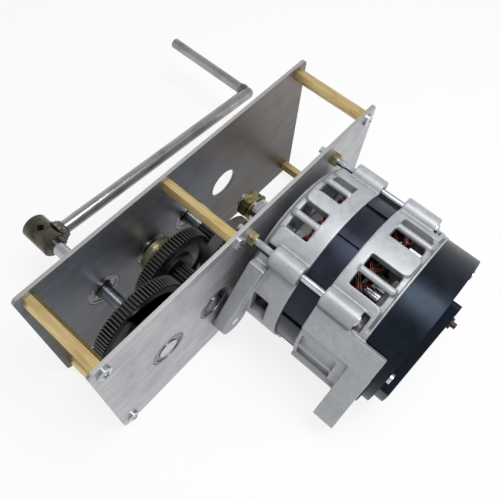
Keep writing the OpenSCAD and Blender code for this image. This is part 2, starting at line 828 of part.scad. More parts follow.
// Mounting lugs
p2_r = rear_bar_d - lug_proud;
p2_x = x_d + p2_r * cos(rear_bar_angle) - rear_bar_down * sin(rear_bar_angle);
p2_z = axis_z + p2_r * sin(rear_bar_angle) + rear_bar_down * cos(rear_bar_angle);
lug_side = lug_r - lug_step;
p2_dist = sqrt(pow(p2_x - lug_x, 2) + pow(p2_z - lug_z, 2));
lug_lean = atan2(p2_x - lug_x, p2_z - lug_z) + asin(lug_side / p2_dist);
p2_up = p2_dist * cos(asin(lug_side / p2_dist));
front_lug_top = p2_up + front_lug_past;

// The lugs' frame: +Z up along their common line, +X towards the alternator's axis
module in_lug() translate([lug_x, 0, lug_z]) rotate([0, lug_lean, 0]) children();

// The radial web that ties a lug to the housing, from station y0 on
module lug_web(y0, l) alt(y0) rotate([0, 0, 180 + lug_angle])
    translate([housing_r - cut, -lug_web_w / 2, 0]) cube([lug_dist - housing_r, lug_web_w, l]);

module front_lug() color([0.78, 0.79, 0.8]) difference() {
    union() {
        ring(lug_x, -front_lug_l, 0, lug_r, 0, lug_z);
        lug_web(nose_gap, front_lug_l - nose_gap - lug_inset);
        in_lug() translate([-lug_side, 0, 0]) rotate([90, 0, 90]) linear_extrude(height = lug_side)
            polygon([[-lug_inset, 0], [lug_inset - front_lug_l, 0],
                [-front_lug_top_y - front_lug_w, front_lug_top], [-front_lug_top_y, front_lug_top]]);
    }
    alt(-cut) cylinder(r = housing_r, h = stator_y + cut);
    alt(boss_front_y) at_bolts() cylinder(r = boss_r, h = stator_y);
    ring(lug_x, -front_lug_l - cut, cut, lug_hole_r, 0, lug_z);
}

module rear_lug() color([0.78, 0.79, 0.8]) difference() {
    union() {
        ring(lug_x, -rear_lug_y - rear_lug_l - lug_proud, lug_proud - rear_lug_y, lug_r, 0, lug_z);
        in_lug() translate([-lug_side, -rear_lug_y - rear_lug_l, 0])
            cube([lug_side + 2 * strut_r, rear_lug_l, p2_up]);
        alt(rear_y) rotate([0, 0, rear_bar_angle]) translate([shell_bore, -rear_bar_up, 0])
            cube([rear_bar_d - shell_bore, rear_bar_up + rear_bar_down,
                rear_lug_y + rear_lug_l - rear_y - lug_proud]);
        alt(rear_y) rotate([0, 0, strut_angle]) translate([housing_r, 0, 0])
            cylinder(r = strut_r, h = rear_lug_y - rear_y + rear_lug_l / 2);
    }
    alt(rear_y - cut) cylinder(r = housing_r, h = rear_l + cut);
    alt(rear_end - cut) cylinder(r = cover_r + cover_play, h = rear_lug_y + rear_lug_l);
    ring(lug_x, -rear_lug_y - rear_lug_l - cut, -rear_lug_y + cut, lug_bush_r, 0, lug_z);
}

// A window cut through a housing's shell, centred on an angle
module window(a, width, l) rotate([0, 0, a - width / 2])
    rotate_extrude(angle = width) translate([shell_bore - shell_t / 2, 0])
        square([shell_t * 2, l]);

module window_ribs(sides, angles, l) {
    for (s = sides, m = angles) rotate([0, 0, s + m])
        translate([housing_r - window_rib_in, 0, 0]) cylinder(r = window_rib_r, h = l);
}

// The front housing's end wall, with the bearing seat and the vents
module front_nose() color([0.78, 0.79, 0.8]) alt(nose_gap) difference() {
    rotate_extrude() polygon([[collar_d_r + shaft_hole_play, 0],
        [housing_r - nose_slope_r, 0], [housing_r, nose_slope_l], [housing_r, front_wall],
        [bearing_seat_r, front_wall], [bearing_seat_r, nose_lip + rotor_front_bearing_w],
        [rotor_front_bearing_r, nose_lip + rotor_front_bearing_w],
        [rotor_front_bearing_r, nose_lip], [collar_d_r + shaft_hole_play, nose_lip]]);
    for (k = [0:vent_count - 1]) rotate([0, 0, 360 * (k + 1 / 2) / vent_count])
        translate([bearing_seat_r + vent_land, -vent_w / 2, -cut])
            cube([shell_bore - vent_margin - bearing_seat_r - vent_land, vent_w, front_wall + 2 * cut]);
    translate([0, 0, -cut]) at_bolts() cylinder(r = bolt_r + rod_room, h = front_wall + 2 * cut);
}

module front_housing() color([0.78, 0.79, 0.8]) difference() {
    union() {
        alt(nose_gap) difference() {
            union() {
                rotate_extrude() polygon([[shell_bore, front_wall], [housing_r, front_wall],
                    [housing_r, front_l], [shell_bore, front_l]]);
                translate([0, 0, boss_front_y - nose_gap]) at_bolts()
                    cylinder(r = boss_r, h = stator_y - boss_front_y - boss_back);
            }
            translate([0, 0, front_win_y - nose_gap]) for (s = front_win_sides, a = front_win_angles)
                window(s + a, front_win_width, front_win_l);
            translate([0, 0, side_win_y - nose_gap])
                window((side_win_from + side_win_to) / 2, side_win_to - side_win_from, side_win_l);
        }
        alt(front_win_y - window_rib_over) window_ribs(front_win_sides, front_win_angles,
            front_win_l + 2 * window_rib_over);
    }
    alt(boss_front_y - cut) at_bolts() cylinder(r = bolt_r + screw_play, h = stator_y);
    alt(0) at_bolts() cylinder(r = bolt_r + rod_room, h = boss_front_y - boss_back);
}

module rear_housing() color([0.78, 0.79, 0.8]) difference() {
    union() {
        alt(rear_y) difference() {
            union() {
                rotate_extrude() polygon([[shell_bore, 0], [housing_r, 0],
                    [housing_r, rear_l - rear_wall], [shell_bore, rear_l - rear_wall]]);
                translate([0, 0, boss_back]) at_bolts()
                    cylinder(r = boss_r, h = boss_rear_l - boss_back);
            }
            translate([0, 0, rear_win_in]) for (s = rear_win_sides, a = rear_win_angles)
                window(s + a, rear_win_width, rear_win_l);
            translate([0, 0, pocket_edge]) difference() {
                window((pocket_from + pocket_to) / 2, pocket_to - pocket_from, pocket_l);
                cylinder(r = housing_r - pocket_in, h = rear_l);
            }
        }
        alt(rear_y + pocket_edge) rotate([0, 0, (pocket_from + pocket_to) / 2])
            translate([housing_r - pocket_in, 0, 0]) cylinder(r = window_rib_r, h = pocket_l);
        alt(rear_y + rear_win_in - window_rib_over) window_ribs(rear_win_sides, rear_win_angles,
            rear_win_l + 2 * window_rib_over);
    }
    alt(rear_y - cut) at_bolts() cylinder(r = bolt_r + screw_play, h = boss_rear_l + 2 * cut);
    alt(rear_y + boss_rear_l - head_sink) at_bolts()
        cylinder(r = boss_r - bolt_pocket_wall, h = bolt_head_h + bolt_pocket_room);
}

// The rear housing's end wall, with the bearing seat and the cover screws' holes
module rear_end_wall() color([0.78, 0.79, 0.8]) alt(rear_y) difference() {
    rotate_extrude() polygon([[housing_r, rear_l - rear_wall], [housing_r, rear_l],
        [rear_hole_r, rear_l], [rear_hole_r, rear_l - nose_lip],
        [rotor_rear_bearing_r, rear_l - nose_lip],
        [rotor_rear_bearing_r, rear_l - nose_lip - rotor_rear_bearing_w],
        [rotor_rear_bearing_r + bearing_wall, rear_l - nose_lip - rotor_rear_bearing_w],
        [rotor_rear_bearing_r + bearing_wall, rear_l - rear_wall]]);
    for (a = cover_screw_angles) rotate([0, 0, a])
        translate([cover_screw_ring, 0, rear_l - cover_screw_bite])
            cylinder(r = cover_screw_r, h = cover_screw_bite + cut);
}

module lug_bush() color([0.7, 0.7, 0.72])
    ring(lug_x, -rear_lug_y - rear_lug_l, -rear_lug_y, lug_bush_r, lug_hole_r, lug_z);

module lug_bolt() color([0.8, 0.81, 0.83]) {
    ring(lug_x, -front_lug_l, near_y, lug_hole_r, 0, lug_z);
    on_axis(lug_x, near_y + lug_washer_t + lug_bolt_head_h, lug_z)
        hexagon(lug_bolt_head_af, lug_bolt_head_h);
    ring(lug_x, near_y, near_y + lug_washer_t, lug_washer_r, 0, lug_z);
}

// Length of a long bolt under its head
bolt_l = near_y + bolt_end + rear_y + boss_rear_l - head_sink;

// The four long bolts: heads in the rear housing, nuts on both sides of the near plate
module through_bolts() color([0.8, 0.81, 0.83])
    alt(-near_y - bolt_end) at_bolts() {
        cylinder(r = bolt_r, h = bolt_l);
        translate([0, 0, bolt_l]) difference() {
            intersection() {
                cylinder(r = bolt_head_r, h = bolt_head_h);
                translate([0, 0, bolt_head_h - bolt_ball_r]) sphere(r = bolt_ball_r);
            }
            translate([0, 0, bolt_head_h / 2])
                cylinder(r = bolt_r - screw_play, h = bolt_head_h, $fn = 6);
        }
    }

module bolt_nuts() color([0.78, 0.66, 0.36])
    for (a = bolt_angles) {
        nx = x_d + bolt_circle_r * cos(a);
        nz = axis_z + bolt_circle_r * sin(a);
        nut(nx, -bolt_nut_h, 0, bolt_nut_af, bolt_r, nz);
        nut(nx, near_y, near_y + inner_nut_h, bolt_nut_af, bolt_r, nz);
    }

// Stator core with outer grooves and slots for the winding
module stator_core() color([0.16, 0.16, 0.18]) alt(stator_y) difference() {
    cylinder(r = stator_r, h = stator_l);
    translate([0, 0, -cut]) cylinder(r = stator_bore_r, h = stator_l + 2 * cut);
    for (k = [0:groove_count - 1]) rotate([0, 0, groove_start + 360 * k / groove_count])
        translate([stator_r - groove_d, -groove_w / 2, -cut])
            cube([groove_d + cut, groove_w, stator_l + 2 * cut]);
    for (k = [0:slot_count - 1]) rotate([0, 0, 360 * k / slot_count])
        translate([slot_ring_r, 0, -cut])
            cylinder(r = wire_r + wire_play, h = stator_l + 2 * cut, $fn = 24);
}

// The winding: one closed tube that passes through every slot once and turns over
// to the next slot group at each end, outwards on the way up and inwards on the way down.
// Each row: share of the turn to the next slot, share of the layer, share of the reach.
turn_shares = [[0, 0, 0], [0.02, 0.55, 0.12], [0.1, 1, 0.24], [0.22, 1, 0.5], [0.34, 1, 0.78],
    [0.45, 1, 0.97], [0.55, 0, 0.97], [0.66, 0, 0.78], [0.78, 0, 0.5], [0.92, 0, 0.2], [1, 0, 0]];
wire_start = stator_l / 2 + wire_lead;
wire_turn = 360 * throw_count / slot_count;
wire_path = [for (i = [0:slot_count - 1], q = turn_shares)
    let (a = wire_turn * (i + q[0]), r = slot_ring_r + wire_layer * q[1],
        s = i % 2 == 0 ? 1 : -1)
    [r * cos(a), r * sin(a), s * (wire_start + (wire_reach - wire_lead) * q[2])]];
wire_n = len(wire_path);
wire_sides = 6;
function unit(v) = v / norm(v);
function wire_ring(i) = let (p = wire_path[i], t = unit(wire_path[(i + 1) % wire_n]
        - wire_path[(i + wire_n - 1) % wire_n]), o = unit([p[0], p[1], 0]),
        n = unit(o - (o * t) * t), b = cross(t, n))
    [for (k = [0:wire_sides - 1])
        let (g = 360 * k / wire_sides) p + wire_r * (cos(g) * n + sin(g) * b)];
// The least gap of the tube to itself, from points along the first two turns to all the rest
wire_dense = [for (i = [0:wire_n - 1], f = [0, 0.5])
    wire_path[i] * (1 - f) + wire_path[(i + 1) % wire_n] * f];
wire_near = 2 * len(turn_shares) - 4;
wire_gap = min([for (i = [0:4 * len(turn_shares) - 1], j = [0:len(wire_dense) - 1])
    let (d = abs(i - j), w = min(d, len(wire_dense) - d))
    if (w > wire_near) norm(wire_dense[i] - wire_dense[j])]) - 2 * wire_r;
echo(winding_least_gap = wire_gap);

module stator_winding() color([0.5, 0.2, 0.12]) alt(rotor_mid) {
    pts = [for (i = [0:wire_n - 1]) each wire_ring(i)];
    faces = [for (i = [0:wire_n - 1], k = [0:wire_sides - 1]) let (j = (i + 1) % wire_n,
        m = (k + 1) % wire_sides, p = i * wire_sides, q = j * wire_sides)
        each [[p + k, q + k, q + m], [p + k, q + m, p + m]]];
    polyhedron(points = pts, faces = faces);
}

// Brushes and rectifier inside the rear cover
module brush_holder() color([0.12, 0.12, 0.13]) alt(rear_end)
    translate([-brush_w / 2, slip_r + brush_gap, 0])
        cube([brush_w, brush_top - slip_r - brush_gap, brush_l]);

module rectifier() color([0.6, 0.61, 0.63]) alt(rear_end) {
    difference() {
        cylinder(r = rect_r, h = rect_t);
        translate([0, 0, -cut]) cylinder(r = rect_in_r, h = rect_t + 2 * cut);
        translate([rect_from - 2 * rect_r, -rect_r, -cut])
            cube([2 * rect_r, 2 * rect_r, rect_t + 2 * cut]);
        translate([term_x, term_z, -cut]) cylinder(r = term_r, h = rect_t + 2 * cut);
        rotate([0, 0, cover_screw_angles[2]]) translate([cover_screw_ring, 0, -cut])
            cylinder(r = cover_post_r + clear, h = rect_t + 2 * cut);
    }
    for (a = diode_angles) rotate([0, 0, a]) translate([diode_ring, 0, rect_t])
        cylinder(r = diode_r, h = diode_h);
}

// Rear cover: a rim, a stepped cap and the bulge over the brushes
cap_end = cover_rim_l + cover_cap_l;

module cover_solid(inset) {
    cylinder(r = cover_r - inset, h = cover_rim_l - inset);
    intersection() {
        cylinder(r = cover_r - inset, h = cap_end - inset);
        rotate([0, 0, cover_split_angle]) translate([cover_split + inset, -cover_r, 0])
            cube([2 * cover_r, 2 * cover_r, cap_end]);
    }
    cylinder(r = cover_left_r - inset, h = cap_end - cap_step - inset);
    intersection() {
        cylinder(r = bulge_r - inset, h = cap_end + bulge_l - inset);
        rotate([0, 0, bulge_cut_angle]) translate([-bulge_r, -bulge_r, 0])
            cube([bulge_r + bulge_cut - inset, 2 * bulge_r, cap_end + bulge_l]);
        translate([-bulge_r, -bulge_r, 0])
            cube([bulge_r + bulge_right - inset, 2 * bulge_r, cap_end + bulge_l]);
    }
}

module rear_cover() color([0.09, 0.1, 0.12]) alt(rear_end) difference() {
    cover_solid(0);
    difference() {
        translate([0, 0, -cut]) cover_solid(cover_wall);
        for (a = cover_screw_angles) rotate([0, 0, a]) translate([cover_screw_ring, 0, -cut])
            cylinder(r = cover_post_r, h = cap_end);
    }
    for (a = cover_screw_angles) rotate([0, 0, a]) translate([cover_screw_ring, 0, -cut])
        cylinder(r = cover_screw_r, h = cap_end + bulge_l);
    translate([term_x, term_z, cap_end - 2 * cover_wall])
        cylinder(r = term_r + clear, h = 3 * cover_wall);
    for (a = cover_screw_angles) rotate([0, 0, a]) translate([cover_screw_ring, 0, cap_end - head_seat])
        cylinder(r = cover_screw_head_r + screw_play, h = bulge_l + head_seat + cut);
}

module cover_screws() color([0.8, 0.81, 0.83]) alt(rear_end - cover_screw_bite)
    for (a = cover_screw_angles) rotate([0, 0, a]) translate([cover_screw_ring, 0, 0]) {
        cylinder(r = cover_screw_r, h = cap_end - head_seat + cover_screw_bite);
        translate([0, 0, cap_end - head_seat + cover_screw_bite]) difference() {
            cylinder(r = cover_screw_head_r, h = cover_screw_head_h);
            translate([0, 0, cover_screw_head_h / 2])
                cylinder(r = cover_screw_r, h = cover_screw_head_h, $fn = 6);
        }
    }

// Output terminal
module at_terminal(d) alt(d) translate([term_x, term_z, 0]) children();

module terminal_base() color([0.1, 0.1, 0.11]) at_terminal(rear_end + cap_end) difference() {
    cylinder(r1 = term_base_r, r2 = term_base_r - term_base_l / 4, h = term_base_l);
    translate([0, 0, -cut]) cylinder(r = term_r, h = term_base_l + 2 * cut);
}

module terminal_stud() color([0.66, 0.5, 0.4]) at_terminal(rear_end) {
    cylinder(r = term_r, h = cap_end + term_out - term_tip_l);
    translate([0, 0, cap_end]) cylinder(r = term_tip_r, h = term_out);
}

module terminal_nuts() color([0.7, 0.55, 0.42]) {
    at_terminal(rear_end + cap_end + term_base_l) difference() {
        cylinder(r = term_washer_r, h = term_washer_t);
        translate([0, 0, -cut]) cylinder(r = term_r, h = term_washer_t + 2 * cut);
    }
    nut(x_d + term_x, -rear_end - cap_end - term_base_l - term_washer_t - term_nut_h,
        -rear_end - cap_end - term_base_l - term_washer_t, term_nut_af, term_r, axis_z + term_z);
}

// Everything that the part shows
placed() {
    front_plate();
    rear_plate();
    standoffs();
    front_screws();
    rear_screws();
    bearing_outer_rings();
    inner_rings_a();
    inner_rings_b();
    inner_rings_c();
    crank_shaft();
    crank_hub();
    hub_screw();
    crank_arm();
    crank_handle();
    crank_welds();
    clips_a();
    gear_1();
    gear_1_collar();
    shaft_b();
    pinion_2();
    gear_2();
    gear_2_boss();
    clips_b();
    shaft_c();
    pinion_3();
    gear_3();
    sleeves_c();
    clips_c();
    rotor_shaft();
    pinion_4();
    shaft_spacer();
    spring_washer();
    shaft_nut();
    claw_pole_front();
    claw_pole_rear();
    field_coil();
    fans();
    slip_rings();
    rotor_bearing_inner();
    rotor_bearing_outer();
    front_nose();
    front_housing();
    front_lug();
    rear_housing();
    rear_end_wall();
    rear_lug();
    stator_core();
    stator_winding();
    brush_holder();
    rectifier();
    rear_cover();
    cover_screws();
    terminal_base();
    terminal_stud();
    terminal_nuts();
    through_bolts();
    bolt_nuts();
    lug_bolt();
    lug_bush();
}
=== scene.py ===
import json
import math
import random

import bpy
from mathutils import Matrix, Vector


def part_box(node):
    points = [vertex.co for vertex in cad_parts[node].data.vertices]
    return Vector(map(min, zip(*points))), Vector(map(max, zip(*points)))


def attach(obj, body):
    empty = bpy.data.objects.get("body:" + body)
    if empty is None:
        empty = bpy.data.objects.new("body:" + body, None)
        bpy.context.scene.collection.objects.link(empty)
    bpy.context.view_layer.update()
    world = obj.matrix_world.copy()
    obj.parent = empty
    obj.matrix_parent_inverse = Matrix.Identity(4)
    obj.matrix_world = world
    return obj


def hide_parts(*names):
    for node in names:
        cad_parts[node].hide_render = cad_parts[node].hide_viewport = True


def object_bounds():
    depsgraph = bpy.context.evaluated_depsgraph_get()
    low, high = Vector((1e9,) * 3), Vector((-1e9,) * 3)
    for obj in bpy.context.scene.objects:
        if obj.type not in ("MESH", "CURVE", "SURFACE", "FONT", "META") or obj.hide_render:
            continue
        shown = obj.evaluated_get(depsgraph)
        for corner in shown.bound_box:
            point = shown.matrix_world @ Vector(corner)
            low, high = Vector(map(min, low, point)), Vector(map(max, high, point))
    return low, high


bl_info = {
    "name": "Hand Crank Generator",
    "version": (1, 0, 0),
    "blender": (4, 5, 0),
    "location": "3D View > Sidebar > Generator",
    "description": "Dresses a hand crank generator with cast, turned, brushed and wound pieces",
    "category": "Add Mesh",
}

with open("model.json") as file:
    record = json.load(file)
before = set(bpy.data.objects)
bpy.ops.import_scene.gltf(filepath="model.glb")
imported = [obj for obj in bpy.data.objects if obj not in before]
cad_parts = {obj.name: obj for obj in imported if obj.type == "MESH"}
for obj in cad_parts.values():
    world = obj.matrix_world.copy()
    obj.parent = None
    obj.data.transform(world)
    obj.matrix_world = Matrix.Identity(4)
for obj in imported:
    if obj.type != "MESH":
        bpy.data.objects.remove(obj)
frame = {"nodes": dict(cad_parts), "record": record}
cad_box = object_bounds()
behaviour = frame["record"]["behaviour"]
MM = 0.001
# The body that each node rides on
BODIES = {node: body for body, nodes in behaviour["bodies"].items() for node in nodes}
# The alternator's axis, the outer faces of the near and the far plate, and the plates' top
AXIS = [Vector(joint["pos_m"]) for joint in behaviour["joints"] if joint["child"] == "rotor"][0]
PLATE_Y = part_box("front_plate")[0][1]
FAR_PLATE_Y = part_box("rear_plate")[1][1]
PLATE_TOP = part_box("front_plate")[1][2]


def linear(hex_colour):
    """The linear colour, with alpha 1, of an sRGB hex colour."""
    channels = [int(hex_colour[i:i + 2], 16) / 255 for i in (1, 3, 5)]
    return tuple(c / 12.92 if c <= 0.04045 else ((c + 0.055) / 1.055) ** 2.4 for c in channels) + (1.0,)


def by_alternator(angle, radius, depth):
    """The point at an angle round the alternator's axis. Radius and depth behind the plate are in mm."""
    turn = math.radians(angle)
    along, up = radius * MM * math.cos(turn), radius * MM * math.sin(turn)
    return Vector((AXIS.x + along, PLATE_Y - depth * MM, AXIS.z + up))


def ease(value):
    """Rises smoothly from 0 to 1 as the value does."""
    value = min(max(value, 0.0), 1.0)
    return value * value * (3 - 2 * value)


def put(tree, kind, inputs=None, output=0, **settings):
    """Adds a node with its settings, links or sets its inputs, and gives one of its outputs. An input
    that is text is a hex colour."""
    node = tree.nodes.new(kind)
    for name, value in settings.items():
        setattr(node, name, value)
    for name, value in (inputs or {}).items():
        if isinstance(value, bpy.types.NodeSocket):
            tree.links.new(value, node.inputs[name])
        else:
            node.inputs[name].default_value = linear(value) if isinstance(value, str) else value
    return node.outputs[output] if node.outputs else None


def new_material(name):
    """An empty node material and its tree."""
    material = bpy.data.materials.new(name)
    material.use_nodes = True
    material.node_tree.nodes.clear()
    return material, material.node_tree


def finish_shader(tree, inputs, *reliefs):
    """A principled shader with these inputs, led to the material's output. Each relief is a pattern, its
    depth in mm and its strength, and lies on the one before."""
    for pattern, depth_mm, strength in reliefs:
        relief = {"Height": pattern, "Distance": depth_mm * MM, "Strength": strength}
        if "Normal" in inputs:
            relief["Normal"] = inputs["Normal"]
        inputs["Normal"] = put(tree, "ShaderNodeBump", relief)
    put(tree, "ShaderNodeOutputMaterial", {"Surface": put(tree, "ShaderNodeBsdfPrincipled", inputs)})


def place(tree, scale=(1, 1, 1), shift=(0, 0, 0)):
    """Object coordinates, scaled and shifted: the pattern's own space."""
    where = put(tree, "ShaderNodeTexCoord", output="Object")
    return put(tree, "ShaderNodeMapping", {"Vector": where, "Scale": scale, "Location": shift})


def coordinate(tree, axis):
    """One of the three Object coordinates."""
    return put(tree, "ShaderNodeSeparateXYZ", {"Vector": place(tree)}, axis)


def off_middle(tree, low, high):
    """How far a point lies from the middle between two depths, to either side."""
    off = put(tree, "ShaderNodeMath", {0: coordinate(tree, "Y"), 1: (low + high) / 2},
              operation="SUBTRACT")
    return put(tree, "ShaderNodeMath", {0: off}, operation="ABSOLUTE")


def patches(tree, size_mm, detail=4, rough=0.55, scale=(1, 1, 1), shift=(0, 0, 0)):
    """Soft patches about size_mm across, as a pattern from 0 to 1 that lies mostly from 0.3 to 0.7."""
    return put(tree, "ShaderNodeTexNoise", {"Vector": place(tree, scale, shift),
               "Scale": 1 / (size_mm * MM), "Detail": detail, "Roughness": rough})


def stripes(tree, size_mm, along, stretch=0.02, detail=5, rough=0.6):
    """Patches drawn out along one axis or two: the lines that brushing, drawing or turning leaves."""
    scale = [stretch if axis in along else 1.0 for axis in "XYZ"]
    return patches(tree, size_mm, detail, rough, scale)


def tint(tree, pattern, low, high, first, second, at_low=0.0, at_high=1.0):
    """A colour between two. The second one's share goes from at_low to at_high as the pattern goes from
    low to high."""
    share = put(tree, "ShaderNodeMapRange", {"Value": pattern, "From Min": low, "From Max": high,
                "To Min": at_low, "To Max": at_high})
    # A Mix node's sockets 6 and 7, and its result 2, are those for colours
    return put(tree, "ShaderNodeMix", {0: share, 6: first, 7: second}, 2, data_type="RGBA")


def roughness(tree, pattern, start, end):
    """A roughness that goes from start to end across the part of a pattern where most of it lies."""
    low, high = 0.3, 0.7
    return put(tree, "ShaderNodeMapRange", {"Value": pattern, "From Min": low, "From Max": high,
               "To Min": start, "To Max": end})


def brushed_plate():
    """Rolled aluminium plate, brushed along its length: straight lines, drawn coarser than they are so
    that they show, and stains. Its inner faces carry painted reflections, bluish to brownish along the
    box and shifted in broad patches, and painted shade: darker than the outer faces and darker towards
    the floor. The top edges carry a painted highlight."""
    material, tree = new_material("Brushed aluminium plate")
    lines = stripes(tree, 2.2, "X", 0.02, 6, 0.8)
    streaks = stripes(tree, 4, "X", 0.06, 4)
    # These broad patches are no marks of handling: they shift the painted reflections below along the box
    handled = patches(tree, 95, detail=3, scale=(1, 1, 1.4))
    stains = patches(tree, 26, detail=5, rough=0.6, shift=(0.3, 0.1, 0))
    height = coordinate(tree, "Z")
    # Between the plates: painted reflections, bluish to brownish along the box, and painted shade and dark
    # reflections that darken the faces towards the floor
    stray = put(tree, "ShaderNodeMapRange", {"Value": handled, "From Min": 0.35, "From Max": 0.65,
                "To Min": -90 * MM, "To Max": 90 * MM})
    painted_reflection = put(tree, "ShaderNodeMath", {0: coordinate(tree, "X"), 1: stray}, operation="ADD")
    inner = tint(tree, painted_reflection, -40 * MM, 60 * MM, "#8c93a0", "#8a8078")
    # Painted shade and dark reflection, not oil: the inner faces darken towards the floor
    inner = tint(tree, height, 30 * MM, 140 * MM, inner, "#37342f", 0.75, 0)
    inner = tint(tree, stains, 0.5, 0.72, inner, "#504c48", 0, 0.5)
    inner = tint(tree, streaks, 0.5, 0.75, inner, "#9aa0aa", 0, 0.3)
    outer = tint(tree, stains, 0.42, 0.7, "#c9c9cc", "#aeb0b5")
    away, half = off_middle(tree, PLATE_Y, FAR_PLATE_Y), (FAR_PLATE_Y - PLATE_Y) / 2
    # Painted shade: the inner faces, between the plates, are darker than the outer faces, which keep only
    # their stains
    tone = tint(tree, away, half - 1.1 * MM, half - 0.4 * MM, inner, outer)
    tone = tint(tree, lines, 0.36, 0.62, tone, "#4c4d50", 0.42, 0)
    # Painted highlight: the sawn top edges are pale where they face the light overhead
    tone = tint(tree, height, PLATE_TOP - 0.5 * MM, PLATE_TOP - 0.35 * MM, tone, "#b0adaa")
    dull = roughness(tree, lines, 0.34, 0.5)
    finish_shader(tree, {"Base Color": tone, "Metallic": 0.8, "Roughness": dull}, (lines, 0.02, 0.2))
    return material


def drawn_brass():
    """Drawn hexagonal brass bar: pale yellow, with faint lines along the bar and brown tarnish in patches."""
    material, tree = new_material("Drawn brass")
    lines = stripes(tree, 0.6, "Y")
    tarnish = patches(tree, 11, detail=5, scale=(1, 0.4, 1))
    tone = tint(tree, lines, 0.35, 0.65, "#c4a86e", "#e2cc98")
    tone = tint(tree, tarnish, 0.48, 0.75, tone, "#8f7444", 0, 0.6)
    dull = roughness(tree, tarnish, 0.28, 0.42)
    finish_shader(tree, {"Base Color": tone, "Metallic": 0.85, "Roughness": dull}, (lines, 0.02, 0.25))
    return material


def zinc_plate():
    """Bright zinc plate on small steel fasteners: near-white metal with soft grey patches."""
    material, tree = new_material("Zinc plated steel")
    haze = patches(tree, 8, detail=3)
    tone = tint(tree, haze, 0.35, 0.7, "#b2b6bb", "#d8dce0")
    dull = roughness(tree, haze, 0.2, 0.26)
    finish_shader(tree, {"Base Color": tone, "Metallic": 1.0, "Roughness": dull})
    return material


def yellow_zinc():
    """Yellow passivated zinc on nuts and washers: dull gold, with a greenish cast that shifts."""
    material, tree = new_material("Yellow passivated zinc")
    cast = patches(tree, 5)
    tone = tint(tree, cast, 0.35, 0.65, "#6d6447", "#ada27a")
    dull = roughness(tree, cast, 0.24, 0.4)
    finish_shader(tree, {"Base Color": tone, "Metallic": 0.95, "Roughness": dull})
    return material


def ground_steel():
    """Ground shaft steel: bright, with long soft highlights and faint rings round the axis."""
    material, tree = new_material("Ground steel")
    rings = stripes(tree, 1.2, "XZ", 0.05)
    tone = tint(tree, rings, 0.3, 0.7, "#a4a6a8", "#c2c4c6")
    dull = roughness(tree, rings, 0.16, 0.24)
    finish_shader(tree, {"Base Color": tone, "Metallic": 1.0, "Roughness": dull})
    return material


def race_steel():
    """Bearing ring steel under a film of oil: darker, with a sharp shine."""
    material, tree = new_material("Bearing steel")
    film = patches(tree, 6)
    tone = tint(tree, film, 0.35, 0.65, "#5a5958", "#8a8a8c")
    dull = roughness(tree, film, 0.22, 0.4)
    finish_shader(tree, {"Base Color": tone, "Metallic": 0.95, "Roughness": dull})
    return material


def bar_steel(name, along):
    """Bare drawn steel bar, handled and oiled: grey, with fine lines and pale scuffs along the bar and
    browner patches."""
    material, tree = new_material(name)
    lines = stripes(tree, 0.7, along, 0.03)
    scuffs = stripes(tree, 2.4, along, 0.12)
    browned = patches(tree, 24)
    tone = tint(tree, lines, 0.35, 0.7, "#949492", "#b2b3b2")
    tone = tint(tree, browned, 0.45, 0.75, tone, "#67645e", 0, 0.6)
    tone = tint(tree, scuffs, 0.6, 0.8, tone, "#c8c9c8", 0, 0.4)
    dull = roughness(tree, scuffs, 0.24, 0.16)
    finish_shader(tree, {"Base Color": tone, "Metallic": 0.95, "Roughness": dull}, (lines, 0.02, 0.05))
    return material


def turned_steel():
    """Turned mild steel, browned by handling and heat: fine rings round the bore and brown patches."""
    material, tree = new_material("Turned mild steel")
    rings = stripes(tree, 0.6, "XZ", 0.06)
    browned = patches(tree, 9, detail=5)
    tone = tint(tree, rings, 0.35, 0.7, "#454139", "#6b675d")
    tone = tint(tree, browned, 0.45, 0.7, tone, "#2b2721", 0, 0.75)
    dull = roughness(tree, browned, 0.16, 0.28)
    finish_shader(tree, {"Base Color": tone, "Metallic": 0.9, "Roughness": dull}, (rings, 0.03, 0.12))
    return material


def weld_steel():
    """Hand laid weld, left as it cooled: dark, lumpy and uneven, with bright specks of spatter."""
    material, tree = new_material("Weld bead")
    grain = patches(tree, 0.8)
    lumps = patches(tree, 3.2)
    tone = tint(tree, lumps, 0.35, 0.65, "#46413a", "#87837b")
    tone = tint(tree, grain, 0.6, 0.7, tone, "#c9c6be")
    dull = roughness(tree, grain, 0.5, 0.34)
    finish_shader(tree, {"Base Color": tone, "Metallic": 0.85, "Roughness": dull}, (grain, 0.2, 0.6))
    return material


def blackened_steel(name, low=0.0, high=0.0):
    """Blackened and oiled gear steel: near black faces with faint grey rings. Between the depths low and
    high, where the teeth are, the tips that stand in open air are painted pale grey, partly wear to
    bare steel and partly a painted highlight, and the roots, in painted shade, stay black."""
    material, tree = new_material(name)
    film = patches(tree, 9)
    rings = stripes(tree, 0.8, "XZ", 0.08)
    tone = tint(tree, film, 0.35, 0.7, "#161616", "#2d2a27")
    tone = tint(tree, rings, 0.55, 0.8, tone, "#353431", 0, 0.4)
    if high > low:
        away, half = off_middle(tree, low, high), (high - low) / 2
        # Painted highlight and shade, with some wear: the teeth go pale grey where they stand in open air and
        # stay black in their roots
        painted_light_occlusion = put(tree, "ShaderNodeAmbientOcclusion", {"Distance": 4 * MM}, "AO", samples=8)
        worn_and_highlit = tint(tree, painted_light_occlusion, 0.45, 0.85, tone, "#64625f")
        tone = tint(tree, away, half - 0.3 * MM, half - 0.15 * MM, worn_and_highlit, tone)
    dull = roughness(tree, film, 0.3, 0.46)
    finish_shader(tree, {"Base Color": tone, "Metallic": 0.85, "Roughness": dull}, (rings, 0.02, 0.2))
    return material


